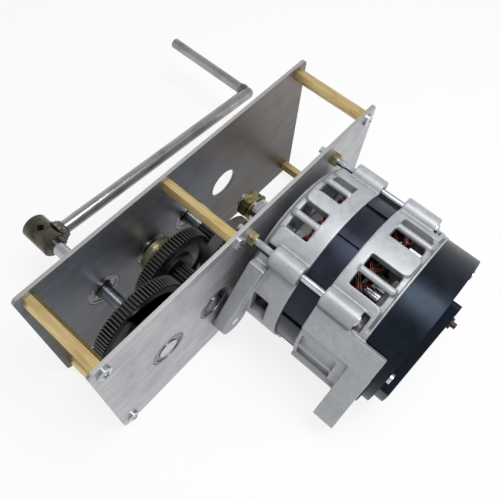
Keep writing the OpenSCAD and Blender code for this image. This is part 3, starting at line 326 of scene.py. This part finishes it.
def turned_boss():
    """A turned steel boss, painted with a golden reflection of what stands round it."""
    material, tree = new_material("Turned steel, painted golden reflection")
    rings = stripes(tree, 0.6, "XZ", 0.05)
    # Painted reflection: the golden tone stands in for the brass and brown surroundings mirrored in plain
    # steel
    tone = tint(tree, rings, 0.3, 0.7, "#7c7561", "#b8ad8b")
    finish_shader(tree, {"Base Color": tone, "Metallic": 0.95, "Roughness": 0.32})
    return material


def cast_aluminium():
    """Die cast aluminium, fine blasted: pale grey and matt, with a grain, small dark pits and painted
    shade in the corners."""
    material, tree = new_material("Blasted cast aluminium")
    grain = patches(tree, 0.8, detail=3, rough=0.65)
    skin = patches(tree, 5, detail=5, rough=0.6)
    wide = patches(tree, 34, detail=3)
    pits = put(tree, "ShaderNodeTexVoronoi", {"Vector": place(tree), "Scale": 1 / (5.5 * MM)}, "Distance")
    painted_light_occlusion = put(tree, "ShaderNodeAmbientOcclusion", {"Distance": 7 * MM}, "AO", samples=8)
    tone = tint(tree, skin, 0.35, 0.65, "#adafb2", "#bec0c3")
    tone = tint(tree, grain, 0.35, 0.65, tone, "#8f9194", 0.35, 0)
    tone = tint(tree, wide, 0.42, 0.68, tone, "#9fa1a6", 0, 0.5)
    tone = tint(tree, pits, 0.05, 0.1, tone, "#55565a", 0.5, 0)
    # Painted shade: darker where the surface is hemmed in, in corners and recesses
    tone = tint(tree, painted_light_occlusion, 0.3, 0.95, "#54524f", tone)
    dull = roughness(tree, skin, 0.42, 0.56)
    finish_shader(tree, {"Base Color": tone, "Metallic": 0.45, "Roughness": dull},
                  (skin, 0.2, 0.3), (grain, 0.07, 0.4))
    return material


def lacquered_core():
    """Stacked electrical sheets under dark lacquer: fine lines round the core, drawn 1.5 millimetres apart
    so that they show, with a painted cold sheen in patches."""
    material, tree = new_material("Lacquered laminations")
    sheet_mm = 1.5
    turns = put(tree, "ShaderNodeMath", {0: coordinate(tree, "Y"), 1: math.tau / (sheet_mm * MM)},
                operation="MULTIPLY")
    wave = put(tree, "ShaderNodeMath", {0: turns}, operation="SINE")
    film = patches(tree, 13, detail=3)
    runs = stripes(tree, 1.1, "Y", 0.05, 4)
    # Painted sheen: the film patches go from near black to dark blue
    tone = tint(tree, film, 0.38, 0.62, "#0b0c0f", "#1b1e27")
    tone = tint(tree, wave, 0, 1, tone, "#2a2f3c", 0, 0.5)
    tone = tint(tree, runs, 0.55, 0.75, tone, "#333848", 0, 0.3)
    dull = roughness(tree, film, 0.24, 0.42)
    finish_shader(tree, {"Base Color": tone, "Roughness": dull, "Specular IOR Level": 0.5,
                         "Specular Tint": "#b4c0dc"}, (wave, 0.05, 0.15))
    return material


def enamelled_wire():
    """Enamelled copper wire: dark red-brown and glossy, duller where varnish has pooled."""
    material, tree = new_material("Enamelled copper wire")
    pool = patches(tree, 3.5)
    tone = tint(tree, pool, 0.35, 0.65, "#2e0d06", "#7a2f17")
    dull = roughness(tree, pool, 0.2, 0.36)
    finish_shader(tree, {"Base Color": tone, "Metallic": 0.6, "Roughness": dull, "Coat Weight": 0.5,
                         "Coat Roughness": 0.12})
    return material


def pressed_sheet():
    """Pressed and plated steel sheet: plain grey with a soft haze."""
    material, tree = new_material("Pressed steel sheet")
    haze = patches(tree, 4)
    tone = tint(tree, haze, 0.35, 0.65, "#4b4d50", "#707275")
    dull = roughness(tree, haze, 0.45, 0.6)
    finish_shader(tree, {"Base Color": tone, "Metallic": 0.9, "Roughness": dull})
    return material


def bare_copper():
    """Bare copper that has dulled: dark brown-pink with darker spots."""
    material, tree = new_material("Dulled copper")
    spots = patches(tree, 2.2)
    tone = tint(tree, spots, 0.4, 0.65, "#2a201b", "#5a473c")
    finish_shader(tree, {"Base Color": tone, "Metallic": 0.85, "Roughness": 0.36}, (spots, 0.1, 0.4))
    return material


def moulded_plastic():
    """Black glass filled nylon, moulded: near black with a cold sheen, slight sinks and a little dust."""
    material, tree = new_material("Moulded black nylon")
    skin = patches(tree, 0.8, detail=3)
    sinks = patches(tree, 20, detail=2)
    dust = patches(tree, 3, detail=6)
    tone = tint(tree, sinks, 0.38, 0.62, "#06070a", "#0d121a")
    tone = tint(tree, dust, 0.58, 0.8, tone, "#252c36", 0, 0.22)
    dull = roughness(tree, sinks, 0.28, 0.42)
    finish_shader(tree, {"Base Color": tone, "Roughness": dull, "Specular IOR Level": 0.4,
                         "Specular Tint": "#a8bcd8"}, (sinks, 0.4, 0.2), (skin, 0.02, 0.2))
    return material


def clean_selection():
    """Leaves nothing selected, in object mode."""
    if bpy.context.object and bpy.context.object.mode != "OBJECT":
        bpy.ops.object.mode_set(mode="OBJECT")
    bpy.ops.object.select_all(action="DESELECT")


def make_active(piece):
    """Selects one piece alone and makes it the active one."""
    clean_selection()
    piece.select_set(True)
    bpy.context.view_layer.objects.active = piece


def apply_modifier(piece, kind, **settings):
    """Adds one modifier with its settings and applies it."""
    make_active(piece)
    modifier = piece.modifiers.new(kind.title(), kind)
    for name, value in settings.items():
        setattr(modifier, name, value)
    bpy.ops.object.modifier_apply(modifier=modifier.name)


def smooth(piece, angle):
    """Shades a piece smooth, with edges sharper than an angle in degrees kept."""
    make_active(piece)
    bpy.ops.object.shade_smooth_by_angle(angle=math.radians(angle))


def dress(nodes, material):
    """Gives CAD nodes a material."""
    for name in nodes:
        for slot in frame["nodes"][name].material_slots:
            slot.material = material


def copy_of(name, *nodes):
    """A new piece that starts from the solids of CAD nodes, joined, with their loose triangles merged."""
    merge_mm = 0.002
    clean_selection()
    for node in nodes:
        piece = bpy.data.objects.new(name, frame["nodes"][node].data.copy())
        bpy.context.scene.collection.objects.link(piece)
        piece.select_set(True)
    bpy.context.view_layer.objects.active = piece
    if len(nodes) > 1:
        bpy.ops.object.join()
    piece.name = name
    make_active(piece)
    bpy.ops.object.mode_set(mode="EDIT")
    bpy.ops.mesh.select_all(action="SELECT")
    bpy.ops.mesh.remove_doubles(threshold=merge_mm * MM)
    bpy.ops.object.mode_set(mode="OBJECT")
    return piece


def finish_piece(piece, material, *nodes):
    """Gives a piece its one material and its nodes' body, and lets it stand for them."""
    piece.data.materials.clear()
    piece.data.materials.append(material)
    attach(piece, BODIES[nodes[0]])
    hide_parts(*nodes)


def edged(node, material, edge_mm, segments=2):
    """Makes a piece from one node's solid, its edges broken by a small bevel, as on the real piece."""
    # Angles in degrees: faces that count as one, edges that are broken, and edges that stay sharp
    flat, broken, sharp = 0.5, 33, 40
    miter = "MITER_ARC" if segments > 2 else "MITER_SHARP"
    piece = copy_of(node + "_edged", node)
    bpy.ops.mesh.customdata_custom_splitnormals_clear()
    apply_modifier(piece, "DECIMATE", decimate_type="DISSOLVE", angle_limit=math.radians(flat))
    apply_modifier(piece, "BEVEL", limit_method="ANGLE", angle_limit=math.radians(broken),
                   width=edge_mm * MM, segments=segments, miter_outer=miter)
    smooth(piece, sharp)
    apply_modifier(piece, "WEIGHTED_NORMAL", keep_sharp=True)
    finish_piece(piece, material, node)


class GeneratorStage(bpy.types.PropertyGroup):
    """Camera and light. The camera was worked out from the plates' corners and edges in the photograph."""
    lens: bpy.props.FloatProperty(
        name="Lens", description="Focal length of the camera", default=39.63, unit="CAMERA")
    eye: bpy.props.FloatVectorProperty(
        name="Eye", description="Where the camera stands", size=3,
        default=(-0.16220, -0.12185, 0.48148), subtype="TRANSLATION", unit="LENGTH")
    turn: bpy.props.FloatVectorProperty(
        name="Turn", description="How the camera is turned", size=3,
        default=(math.radians(28.156), math.radians(-2.496), math.radians(-48.542)), subtype="EULER")
    sky: bpy.props.FloatProperty(
        name="Sky", description="Level of the light from all round", default=0.55, min=0)
    key: bpy.props.FloatProperty(
        name="Key light", description="Power of the main light", default=5.5, min=0, unit="POWER")
    floor: bpy.props.FloatVectorProperty(
        name="Floor", description="Colour of the floor", size=4, default=(0.93, 0.93, 0.93, 1),
        subtype="COLOR")


class GENERATOR_OT_stage(bpy.types.Operator):
    """Sets up the floor, the light and the camera"""
    bl_idname = "generator.stage"
    bl_label = "Stage"
    # Each lamp's name, place, width and share of the key light's power, and the point that they light
    lights = (("Key", (0.1, -0.17, 1.05), 0.5, 1.1), ("Fill", (0.35, -0.71, 0.55), 0.7, 0.35))
    aim = (0, 0.01, 0.05)
    floor_width = 30
    floor_gap = 0.2 * MM
    # The share of the floor's look that is plain white. The rest shows light and shadow.
    floor_white = 0.82

    def execute(self, context):
        settings = context.scene.generator_stage
        scene = context.scene
        scene.view_settings.view_transform = "Standard"
        camera = bpy.data.objects.new("Camera", bpy.data.cameras.new("Camera"))
        scene.collection.objects.link(camera)
        camera.location = settings.eye
        camera.rotation_euler = settings.turn
        camera.data.lens = settings.lens
        camera.data.clip_start = 0.01
        scene.camera = camera
        self.world(scene, settings)
        self.lamps(scene, settings)
        self.floor(settings)
        return {"FINISHED"}

    def seen(self, tree):
        """1 for what the camera sees, straight, mirrored in metal or through glass, and 0 for other light."""
        rays = put(tree, "ShaderNodeLightPath").node.outputs
        seen = rays["Is Camera Ray"]
        for ray in ("Is Glossy Ray", "Is Transmission Ray"):
            seen = put(tree, "ShaderNodeMath", {0: seen, 1: rays[ray]}, operation="MAXIMUM")
        return seen

    def world(self, scene, settings):
        """Soft light from all round, and a backdrop that is white at the horizon and grey overhead."""
        world = bpy.data.worlds.new("Studio")
        world.use_nodes = True
        tree = world.node_tree
        tree.nodes.clear()
        towards = put(tree, "ShaderNodeTexCoord", output="Generated")
        height = put(tree, "ShaderNodeSeparateXYZ", {"Vector": towards}, "Z")
        tone = tint(tree, height, -0.1, 0.9, "#6d6f73", "#f4f6fa")
        soft = put(tree, "ShaderNodeBackground", {"Color": tone, "Strength": settings.sky})
        tone = tint(tree, height, 0.2, 0.9, "#ffffff", "#c3c5c9")
        backdrop = put(tree, "ShaderNodeBackground", {"Color": tone, "Strength": 1.0})
        both = put(tree, "ShaderNodeMixShader", {0: self.seen(tree), 1: soft, 2: backdrop})
        put(tree, "ShaderNodeOutputWorld", {"Surface": both})
        scene.world = world

    def lamps(self, scene, settings):
        """A soft key above the alternator and a low fill from its side."""
        for name, place_at, size, share in self.lights:
            light = bpy.data.lights.new(name, "AREA")
            light.shape = "DISK"
            light.size = size
            light.energy = settings.key * share
            lamp = bpy.data.objects.new(name, light)
            lamp.location = place_at
            towards = Vector(self.aim) - Vector(place_at)
            lamp.rotation_euler = towards.to_track_quat("-Z", "Y").to_euler()
            scene.collection.objects.link(lamp)

    def floor(self, settings):
        """A wide pale floor that is seen as white and keeps the object's shadow."""
        clean_selection()
        below = (0, 0, cad_box[0][2] - self.floor_gap)
        bpy.ops.mesh.primitive_plane_add(size=self.floor_width, location=below)
        floor = bpy.context.object
        floor.name = "Floor"
        material, tree = new_material("Pale floor")
        lit = put(tree, "ShaderNodeBsdfDiffuse", {"Color": settings.floor})
        white = put(tree, "ShaderNodeEmission", {"Color": (1, 1, 1, 1), "Strength": 1.0})
        share = put(tree, "ShaderNodeMath", {0: self.seen(tree), 1: self.floor_white},
                    operation="MULTIPLY")
        both = put(tree, "ShaderNodeMixShader", {0: share, 1: lit, 2: white})
        put(tree, "ShaderNodeOutputMaterial", {"Surface": both})
        floor.data.materials.append(material)


class GeneratorFinish(bpy.types.PropertyGroup):
    """Sizes of the edges, the castings, the winding and the welds."""
    cut_edge: bpy.props.FloatProperty(
        name="Plate edge", description="Radius that the cut edges of the plates are broken to",
        default=0.35 * MM, unit="LENGTH")
    bar_edge: bpy.props.FloatProperty(
        name="Bar edge", description="Radius on turned, drawn and sawn bar",
        default=0.4 * MM, unit="LENGTH")
    small_edge: bpy.props.FloatProperty(
        name="Small edge", description="Radius on screws, nuts and gear teeth",
        default=0.16 * MM, unit="LENGTH")
    cover_edge: bpy.props.FloatProperty(
        name="Cover edge", description="Radius of the moulded cover's edges",
        default=1.6 * MM, unit="LENGTH")
    cast_voxel: bpy.props.FloatProperty(
        name="Casting detail", description="Size of the cells that a casting is rounded in",
        default=0.8 * MM, unit="LENGTH")
    cast_rounds: bpy.props.IntProperty(
        name="Casting rounding", description="How often a casting is smoothed", default=2)
    front_step: bpy.props.FloatProperty(
        name="Front step", description="How far the front housing's pads stand above its rim",
        default=3.2 * MM, unit="LENGTH")
    rear_step: bpy.props.FloatProperty(
        name="Rear step", description="How far the rear housing's pads stand above its rim",
        default=2.6 * MM, unit="LENGTH")
    wire: bpy.props.FloatProperty(
        name="Wire", description="Radius of one winding wire", default=0.66 * MM, unit="LENGTH")
    wire_ring: bpy.props.FloatProperty(
        name="Bundle", description="How far the outer wires of a bundle lie from its middle",
        default=1.38 * MM, unit="LENGTH")
    weld_lump: bpy.props.FloatProperty(
        name="Weld lumps", description="How uneven the welds are", default=1.8 * MM, unit="LENGTH")


class GENERATOR_OT_plates(bpy.types.Operator):
    """Breaks the edges of the two plates and of the standoffs between them"""
    bl_idname = "generator.plates"
    bl_label = "Plates and standoffs"
    # In mm: how far the standoffs' edges are broken
    hexagon_edge = 0.25

    def execute(self, context):
        sizes = context.scene.generator_finish
        plate = brushed_plate()
        for node in ("front_plate", "rear_plate"):
            edged(node, plate, sizes.cut_edge / MM)
        edged("standoffs", drawn_brass(), self.hexagon_edge)
        return {"FINISHED"}


class GENERATOR_OT_fasteners(bpy.types.Operator):
    """Finishes the screws, bolts, nuts and washers"""
    bl_idname = "generator.fasteners"
    bl_label = "Fasteners"

    def execute(self, context):
        small = context.scene.generator_finish.small_edge / MM
        zinc, yellow = zinc_plate(), yellow_zinc()
        for node in ("front_screws", "rear_screws", "cover_screws", "lug_bolt", "through_bolts"):
            edged(node, zinc, small)
        for node in ("shaft_nut", "spring_washer", "bolt_nuts"):
            edged(node, yellow, 2 * small)
        return {"FINISHED"}


class GENERATOR_OT_shafts(bpy.types.Operator):
    """Finishes the shafts, sleeves and bearings"""
    bl_idname = "generator.shafts"
    bl_label = "Shafts and bearings"

    def execute(self, context):
        small = context.scene.generator_finish.small_edge / MM
        steel = ground_steel()
        for node in ("crank_shaft", "shaft_b", "shaft_c", "rotor_shaft", "shaft_spacer", "gear_1_collar",
                     "sleeves_c"):
            edged(node, steel, 2 * small)
        dress(["inner_rings_a", "inner_rings_b", "inner_rings_c", "rotor_bearing_inner"], steel)
        race = race_steel()
        edged("bearing_outer_rings", race, small)
        dress(["rotor_bearing_outer"], race)
        return {"FINISHED"}


class GENERATOR_OT_gears(bpy.types.Operator):
    """Breaks the corners of the gear teeth, and finishes gears, boss, clips and the hub's screw"""
    bl_idname = "generator.gears"
    bl_label = "Gears"

    def execute(self, context):
        small = context.scene.generator_finish.small_edge / MM
        for node in ("gear_1", "pinion_2", "gear_2", "pinion_3", "gear_3", "pinion_4"):
            low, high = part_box(node)
            black = blackened_steel("Blackened gear steel, " + node, low[1], high[1])
            edged(node, black, small, segments=1)
        dress(["hub_screw", "clips_a", "clips_b", "clips_c"], blackened_steel("Blackened spring steel"))
        edged("gear_2_boss", turned_boss(), 2 * small)
        return {"FINISHED"}


class GENERATOR_OT_crank(bpy.types.Operator):
    """Finishes the crank's hub, arm and handle, and lays its two welds"""
    bl_idname = "generator.crank"
    bl_label = "Crank"
    # Sizes in mm of the cells that a weld is cut into and of its lumps, and how far it swells:
    # at 0.5 it keeps its size, and lower it grows. Edges past weld_sharp degrees stay sharp.
    weld_cell = 0.45
    weld_grain = 2.6
    weld_level = 0.25
    weld_sharp = 70

    def execute(self, context):
        sizes = context.scene.generator_finish
        edge = sizes.bar_edge / MM
        edged("crank_hub", turned_steel(), 1.4 * edge)
        edged("crank_arm", bar_steel("Drawn steel bar, arm", "X"), edge)
        edged("crank_handle", bar_steel("Drawn steel bar, handle", "Y"), edge)
        self.welds(sizes)
        return {"FINISHED"}

    def welds(self, sizes):
        """Each weld as it cooled: the plain cone is cut fine, pushed about and softened."""
        piece = copy_of("weld_beads", "crank_welds")
        apply_modifier(piece, "REMESH", mode="VOXEL", voxel_size=self.weld_cell * MM)
        lumps = bpy.data.textures.new("Weld lumps", "CLOUDS")
        lumps.noise_scale = self.weld_grain * MM
        lumps.noise_depth = 2
        apply_modifier(piece, "DISPLACE", texture=lumps, strength=sizes.weld_lump,
                       mid_level=self.weld_level, texture_coords="LOCAL")
        apply_modifier(piece, "SMOOTH", factor=0.5, iterations=2)
        smooth(piece, self.weld_sharp)
        finish_piece(piece, weld_steel(), "crank_welds")


class GENERATOR_OT_castings(bpy.types.Operator):
    """Rounds the two cast housings, adds the ends of their round ribs and sets their rims back"""
    bl_idname = "generator.castings"
    bl_label = "Castings"
    # Angles of the sides that have windows
    sides = (0, 90, 270)
    most_triangles = 180000
    # In degrees: edges sharper than this stay sharp
    sharp = 60
    # In mm: a rib's radius and how far its middle lies from the axis
    rib_radius = 2.8
    rib_place = 72.9
    # In mm from the axis: the rim falls back from rim_from over rim_ease, and what lies past lug_from stays
    rim_from = 66
    rim_ease = 5
    lug_from = 77
    # In mm: a tongue's place, the radius of its corners, and the width of its slope
    tongue_place = 74
    pad_corner = 4.2
    rib_corner = 2.4
    slope = 1.1
    # In degrees: half a rib's width, half the outer pad's width, and the slope of the part past it
    rib_half = 2.4
    outer_half = 12
    outer_slope = 4

    def execute(self, context):
        sizes = context.scene.generator_finish
        material = cast_aluminium()
        # Angles in degrees from the middle of a side that has windows: a rib's middle, half the middle
        # pad's width, and the outer pad's near edge. Then the depth in mm behind the plate where the pads
        # end, which way leads past it, how far in mm the pads stand up, and how the rim falls with depth
        front = {"rib": 15.1, "pad": 5.0, "edge": 25.2, "pad_end": 13.0, "outwards": -1,
                 "step": sizes.front_step / MM, "low": self.front_low}
        rear = {"rib": 18.4, "pad": 7.7, "edge": 29.1, "pad_end": 106.4, "outwards": 1,
                "step": sizes.rear_step / MM, "low": self.rear_low}
        self.housing("front_casting", ("front_nose", "front_lug", "front_housing"), sizes, material,
                     (15.6, 19), front)
        self.housing("rear_casting", ("rear_end_wall", "rear_lug", "rear_housing"), sizes, material,
                     (101, 104.6), rear)
        dress(["rectifier"], material)
        return {"FINISHED"}

    def front_low(self, depth):
        """How far the front rim is set back at a depth: all the way near the plate."""
        windows, over = 20, 3
        return ease((windows - depth) / over)

    def rear_low(self, depth):
        """How far the rear rim is set back at a depth: all the way past the windows, and less at its end."""
        windows, over = 99.5, 3
        lip, lip_over, lip_share = 107.8, 0.8, 0.6
        return ease((depth - windows) / over) * (1 - lip_share * ease((depth - lip) / lip_over))

    def housing(self, name, nodes, sizes, material, rib_depths, shape):
        """One housing from its solids, in one skin. Its ribs' ends lie between two depths in mm."""
        piece = copy_of(name, *nodes)
        ends = [self.rib(side + sign * shape["rib"], *rib_depths) for side in self.sides for sign in (-1, 1)]
        clean_selection()
        for end in ends + [piece]:
            end.select_set(True)
        bpy.context.view_layer.objects.active = piece
        bpy.ops.object.join()
        apply_modifier(piece, "REMESH", mode="VOXEL", voxel_size=sizes.cast_voxel)
        apply_modifier(piece, "SMOOTH", factor=0.5, iterations=sizes.cast_rounds)
        self.set_back(piece, **shape)
        triangles = sum(len(face.vertices) - 2 for face in piece.data.polygons)
        if triangles > self.most_triangles:
            apply_modifier(piece, "DECIMATE", decimate_type="COLLAPSE", ratio=self.most_triangles / triangles)
        smooth(piece, self.sharp)
        finish_piece(piece, material, *nodes)

    def rib(self, angle, start, stop):
        """A round-ended bar on a window's middle, between two depths: a ball whose far half is drawn out."""
        past_middle_mm = 0.01
        clean_selection()
        bpy.ops.mesh.primitive_uv_sphere_add(
            segments=24, ring_count=12, radius=self.rib_radius * MM,
            location=by_alternator(angle, self.rib_place, start), rotation=(math.radians(90), 0, 0))
        end = bpy.context.object
        bpy.ops.object.transform_apply(location=True, rotation=True, scale=True)
        for vertex in end.data.vertices:
            vertex.select = vertex.co.y < PLATE_Y - start * MM - past_middle_mm * MM
        bpy.ops.object.mode_set(mode="EDIT")
        bpy.ops.transform.translate(value=(0, (start - stop) * MM, 0))
        bpy.ops.object.mode_set(mode="OBJECT")
        return end

    def set_back(self, piece, rib, pad, edge, pad_end, outwards, step, low):
        """Lowers the rim beside the windows, so that the pads and ribs between them stand out with
        rounded ends."""
        for vertex in piece.data.vertices:
            along, up = (vertex.co.x - AXIS.x) / MM, (vertex.co.z - AXIS.z) / MM
            radius = math.hypot(along, up)
            depth = (PLATE_Y - vertex.co.y) / MM
            fall = low(depth) * ease((radius - self.rim_from) / self.rim_ease)
            if not fall or radius > self.lug_from:
                continue
            angle = math.degrees(math.atan2(up, along)) % 360
            off = min(abs((angle - side + 180) % 360 - 180) for side in self.sides)
            past = outwards * (depth - pad_end)
            outer = edge + self.outer_half
            kept = max(self.tongue(off, pad, past, self.pad_corner),
                       self.tongue(abs(off - rib), self.rib_half, past, self.rib_corner),
                       self.tongue(max(outer - off, 0), self.outer_half, past, self.pad_corner),
                       ease((off - outer) / self.outer_slope))
            factor = 1 - step * fall * (1 - kept) / radius
            vertex.co.x = AXIS.x + along * MM * factor
            vertex.co.z = AXIS.z + up * MM * factor

    def tongue(self, off, half, past, corner):
        """1 on a round-ended tongue, 0 off it: off and half in degrees from its middle, past in mm over its
        end."""
        across = max((off - half) * math.radians(1) * self.tongue_place + corner, 0)
        over = max(past + corner, 0)
        return 1 - ease((math.hypot(across, over) - corner) / self.slope + 0.5)


class GENERATOR_OT_core(bpy.types.Operator):
    """Breaks the edges of the laminated core and finishes the rotor"""
    bl_idname = "generator.core"
    bl_label = "Core and rotor"
    # In mm: how far the core's edges are broken
    core_edge = 0.3

    def execute(self, context):
        lacquer = lacquered_core()
        edged("stator_core", lacquer, self.core_edge)
        dress(["claw_pole_front", "claw_pole_rear"], lacquer)
        sheet, copper = pressed_sheet(), bare_copper()
        dress(["fans", "lug_bush"], sheet)
        dress(["slip_rings"], copper)
        return {"FINISHED"}


class GENERATOR_OT_winding(bpy.types.Operator):
    """Winds the stator: seven wires in each bundle, over and under the core in two layers"""
    bl_idname = "generator.winding"
    bl_label = "Winding"
    # The middle line swings past the core's two ends by turns, each time to the same ten points: share of
    # a turn's angle, share of the way to the outer layer, share of the reach past the core
    row = ((0, 0, 0), (.02, .55, .12), (.1, 1, .24), (.22, 1, .5), (.34, 1, .78), (.45, 1, .97),
           (.55, 0, .97), (.66, 0, .78), (.78, 0, .5), (.92, 0, .2))
    turns = 48
    turn_degrees = 37.5
    # In mm: the inner layer's radius, the outer one's height above it, the depth of the core's middle,
    # half the core's length, and the reach past it
    inner_layer = 55
    layer_step = 5.4
    core_middle = 58.75
    core_half = 11.95
    reach_past = 16.8
    # Wires in a bundle, how often they twist round it on the whole line, how far in mm they stray, and
    # after how many points the stray changes. Edges past sharp degrees stay sharp.
    wires = 7
    twists = 24
    stray = 0.22
    stray_points = 4
    sharp = 70

    def execute(self, context):
        sizes = context.scene.generator_finish
        random.seed(7)
        path = self.path()
        curve = bpy.data.curves.new("winding_wires", "CURVE")
        curve.dimensions = "3D"
        curve.bevel_depth = sizes.wire
        curve.bevel_resolution = 1
        for number in range(self.wires):
            self.wire(curve, path, number, sizes)
        piece = bpy.data.objects.new("winding_wires", curve)
        bpy.context.scene.collection.objects.link(piece)
        make_active(piece)
        bpy.ops.object.convert(target="MESH")
        piece = bpy.context.object
        smooth(piece, self.sharp)
        material = enamelled_wire()
        finish_piece(piece, material, "stator_winding")
        dress(["field_coil"], material)
        return {"FINISHED"}

    def path(self):
        """The middle line of the whole winding, as the source's solid has it, with points between."""
        points = []
        for turn in range(self.turns):
            side = 1 if turn % 2 == 0 else -1
            for share, layer, reach in self.row:
                angle = self.turn_degrees * (turn + share)
                radius = self.inner_layer + self.layer_step * layer
                depth = self.core_middle + side * (self.core_half + self.reach_past * reach)
                points.append(by_alternator(angle, radius, depth))
        closer = []
        count = len(points)
        for i in range(count):
            a, b, c, d = (points[(i + k) % count] for k in (-1, 0, 1, 2))
            # The second is where the smooth curve through all four passes between b and c
            closer += [b, (9 * (b + c) - a - d) / 16]
        return closer

    def wire(self, curve, path, number, sizes):
        """One wire of the bundle: the middle one, or one of six that turn slowly round it."""
        count = len(path)
        changes = count // self.stray_points
        spline = curve.splines.new("POLY")
        spline.points.add(count - 1)
        spline.use_cyclic_u = True
        strays = [Vector([random.uniform(-1, 1) for k in range(3)]) * self.stray * MM
                  for i in range(changes + 1)]
        for i, point in enumerate(path):
            along = (path[(i + 1) % count] - path[i - 1]).normalized()
            out = point - Vector((AXIS.x, point.y, AXIS.z))
            out = (out - along * out.dot(along)).normalized()
            turn = math.radians(360 / (self.wires - 1) * number + 360 * self.twists * i / count)
            ring = sizes.wire_ring if number else 0
            offset = (out * math.cos(turn) + along.cross(out) * math.sin(turn)) * ring
            step, share = divmod(i, self.stray_points)
            loose = strays[step].lerp(strays[(step + 1) % changes], share / self.stray_points)
            spline.points[i].co = (*(point + offset + loose), 1)


class GENERATOR_OT_cover(bpy.types.Operator):
    """Rounds the moulded rear cover and finishes the terminal"""
    bl_idname = "generator.cover"
    bl_label = "Rear cover and terminal"
    # In mm: the radius of the terminal's moulded foot, and how far the nuts' and stud's edges are broken
    foot_edge = 2.2
    nut_edge = 0.3

    def execute(self, context):
        sizes = context.scene.generator_finish
        nylon = moulded_plastic()
        edged("rear_cover", nylon, sizes.cover_edge / MM, segments=3)
        edged("terminal_base", nylon, self.foot_edge, segments=4)
        dress(["brush_holder"], nylon)
        copper = bare_copper()
        for node in ("terminal_nuts", "terminal_stud"):
            edged(node, copper, self.nut_edge)
        return {"FINISHED"}


class GENERATOR_PT_panel(bpy.types.Panel):
    """Lists the pieces and their settings"""
    bl_idname = "GENERATOR_PT_panel"
    bl_label = "Hand Crank Generator"
    bl_space_type = "VIEW_3D"
    bl_region_type = "UI"
    bl_category = "Generator"

    def draw(self, context):
        for settings in (context.scene.generator_stage, context.scene.generator_finish):
            for name in settings.__annotations__:
                self.layout.prop(settings, name)
        for operator in OPERATORS:
            self.layout.operator(operator.bl_idname)


OPERATORS = (GENERATOR_OT_stage, GENERATOR_OT_plates, GENERATOR_OT_fasteners, GENERATOR_OT_shafts,
             GENERATOR_OT_gears, GENERATOR_OT_crank, GENERATOR_OT_castings, GENERATOR_OT_core,
             GENERATOR_OT_winding, GENERATOR_OT_cover)
CLASSES = (GeneratorStage, GeneratorFinish) + OPERATORS + (GENERATOR_PT_panel,)


def register():
    for cls in CLASSES:
        bpy.utils.register_class(cls)
    bpy.types.Scene.generator_stage = bpy.props.PointerProperty(type=GeneratorStage)
    bpy.types.Scene.generator_finish = bpy.props.PointerProperty(type=GeneratorFinish)


def unregister():
    del bpy.types.Scene.generator_finish
    del bpy.types.Scene.generator_stage
    for cls in reversed(CLASSES):
        bpy.utils.unregister_class(cls)


def main():
    register()
    bpy.ops.generator.stage()
    bpy.ops.generator.plates()
    bpy.ops.generator.fasteners()
    bpy.ops.generator.shafts()
    bpy.ops.generator.gears()
    bpy.ops.generator.crank()
    bpy.ops.generator.castings()
    bpy.ops.generator.core()
    bpy.ops.generator.winding()
    bpy.ops.generator.cover()


if __name__ == "__main__":
    main()
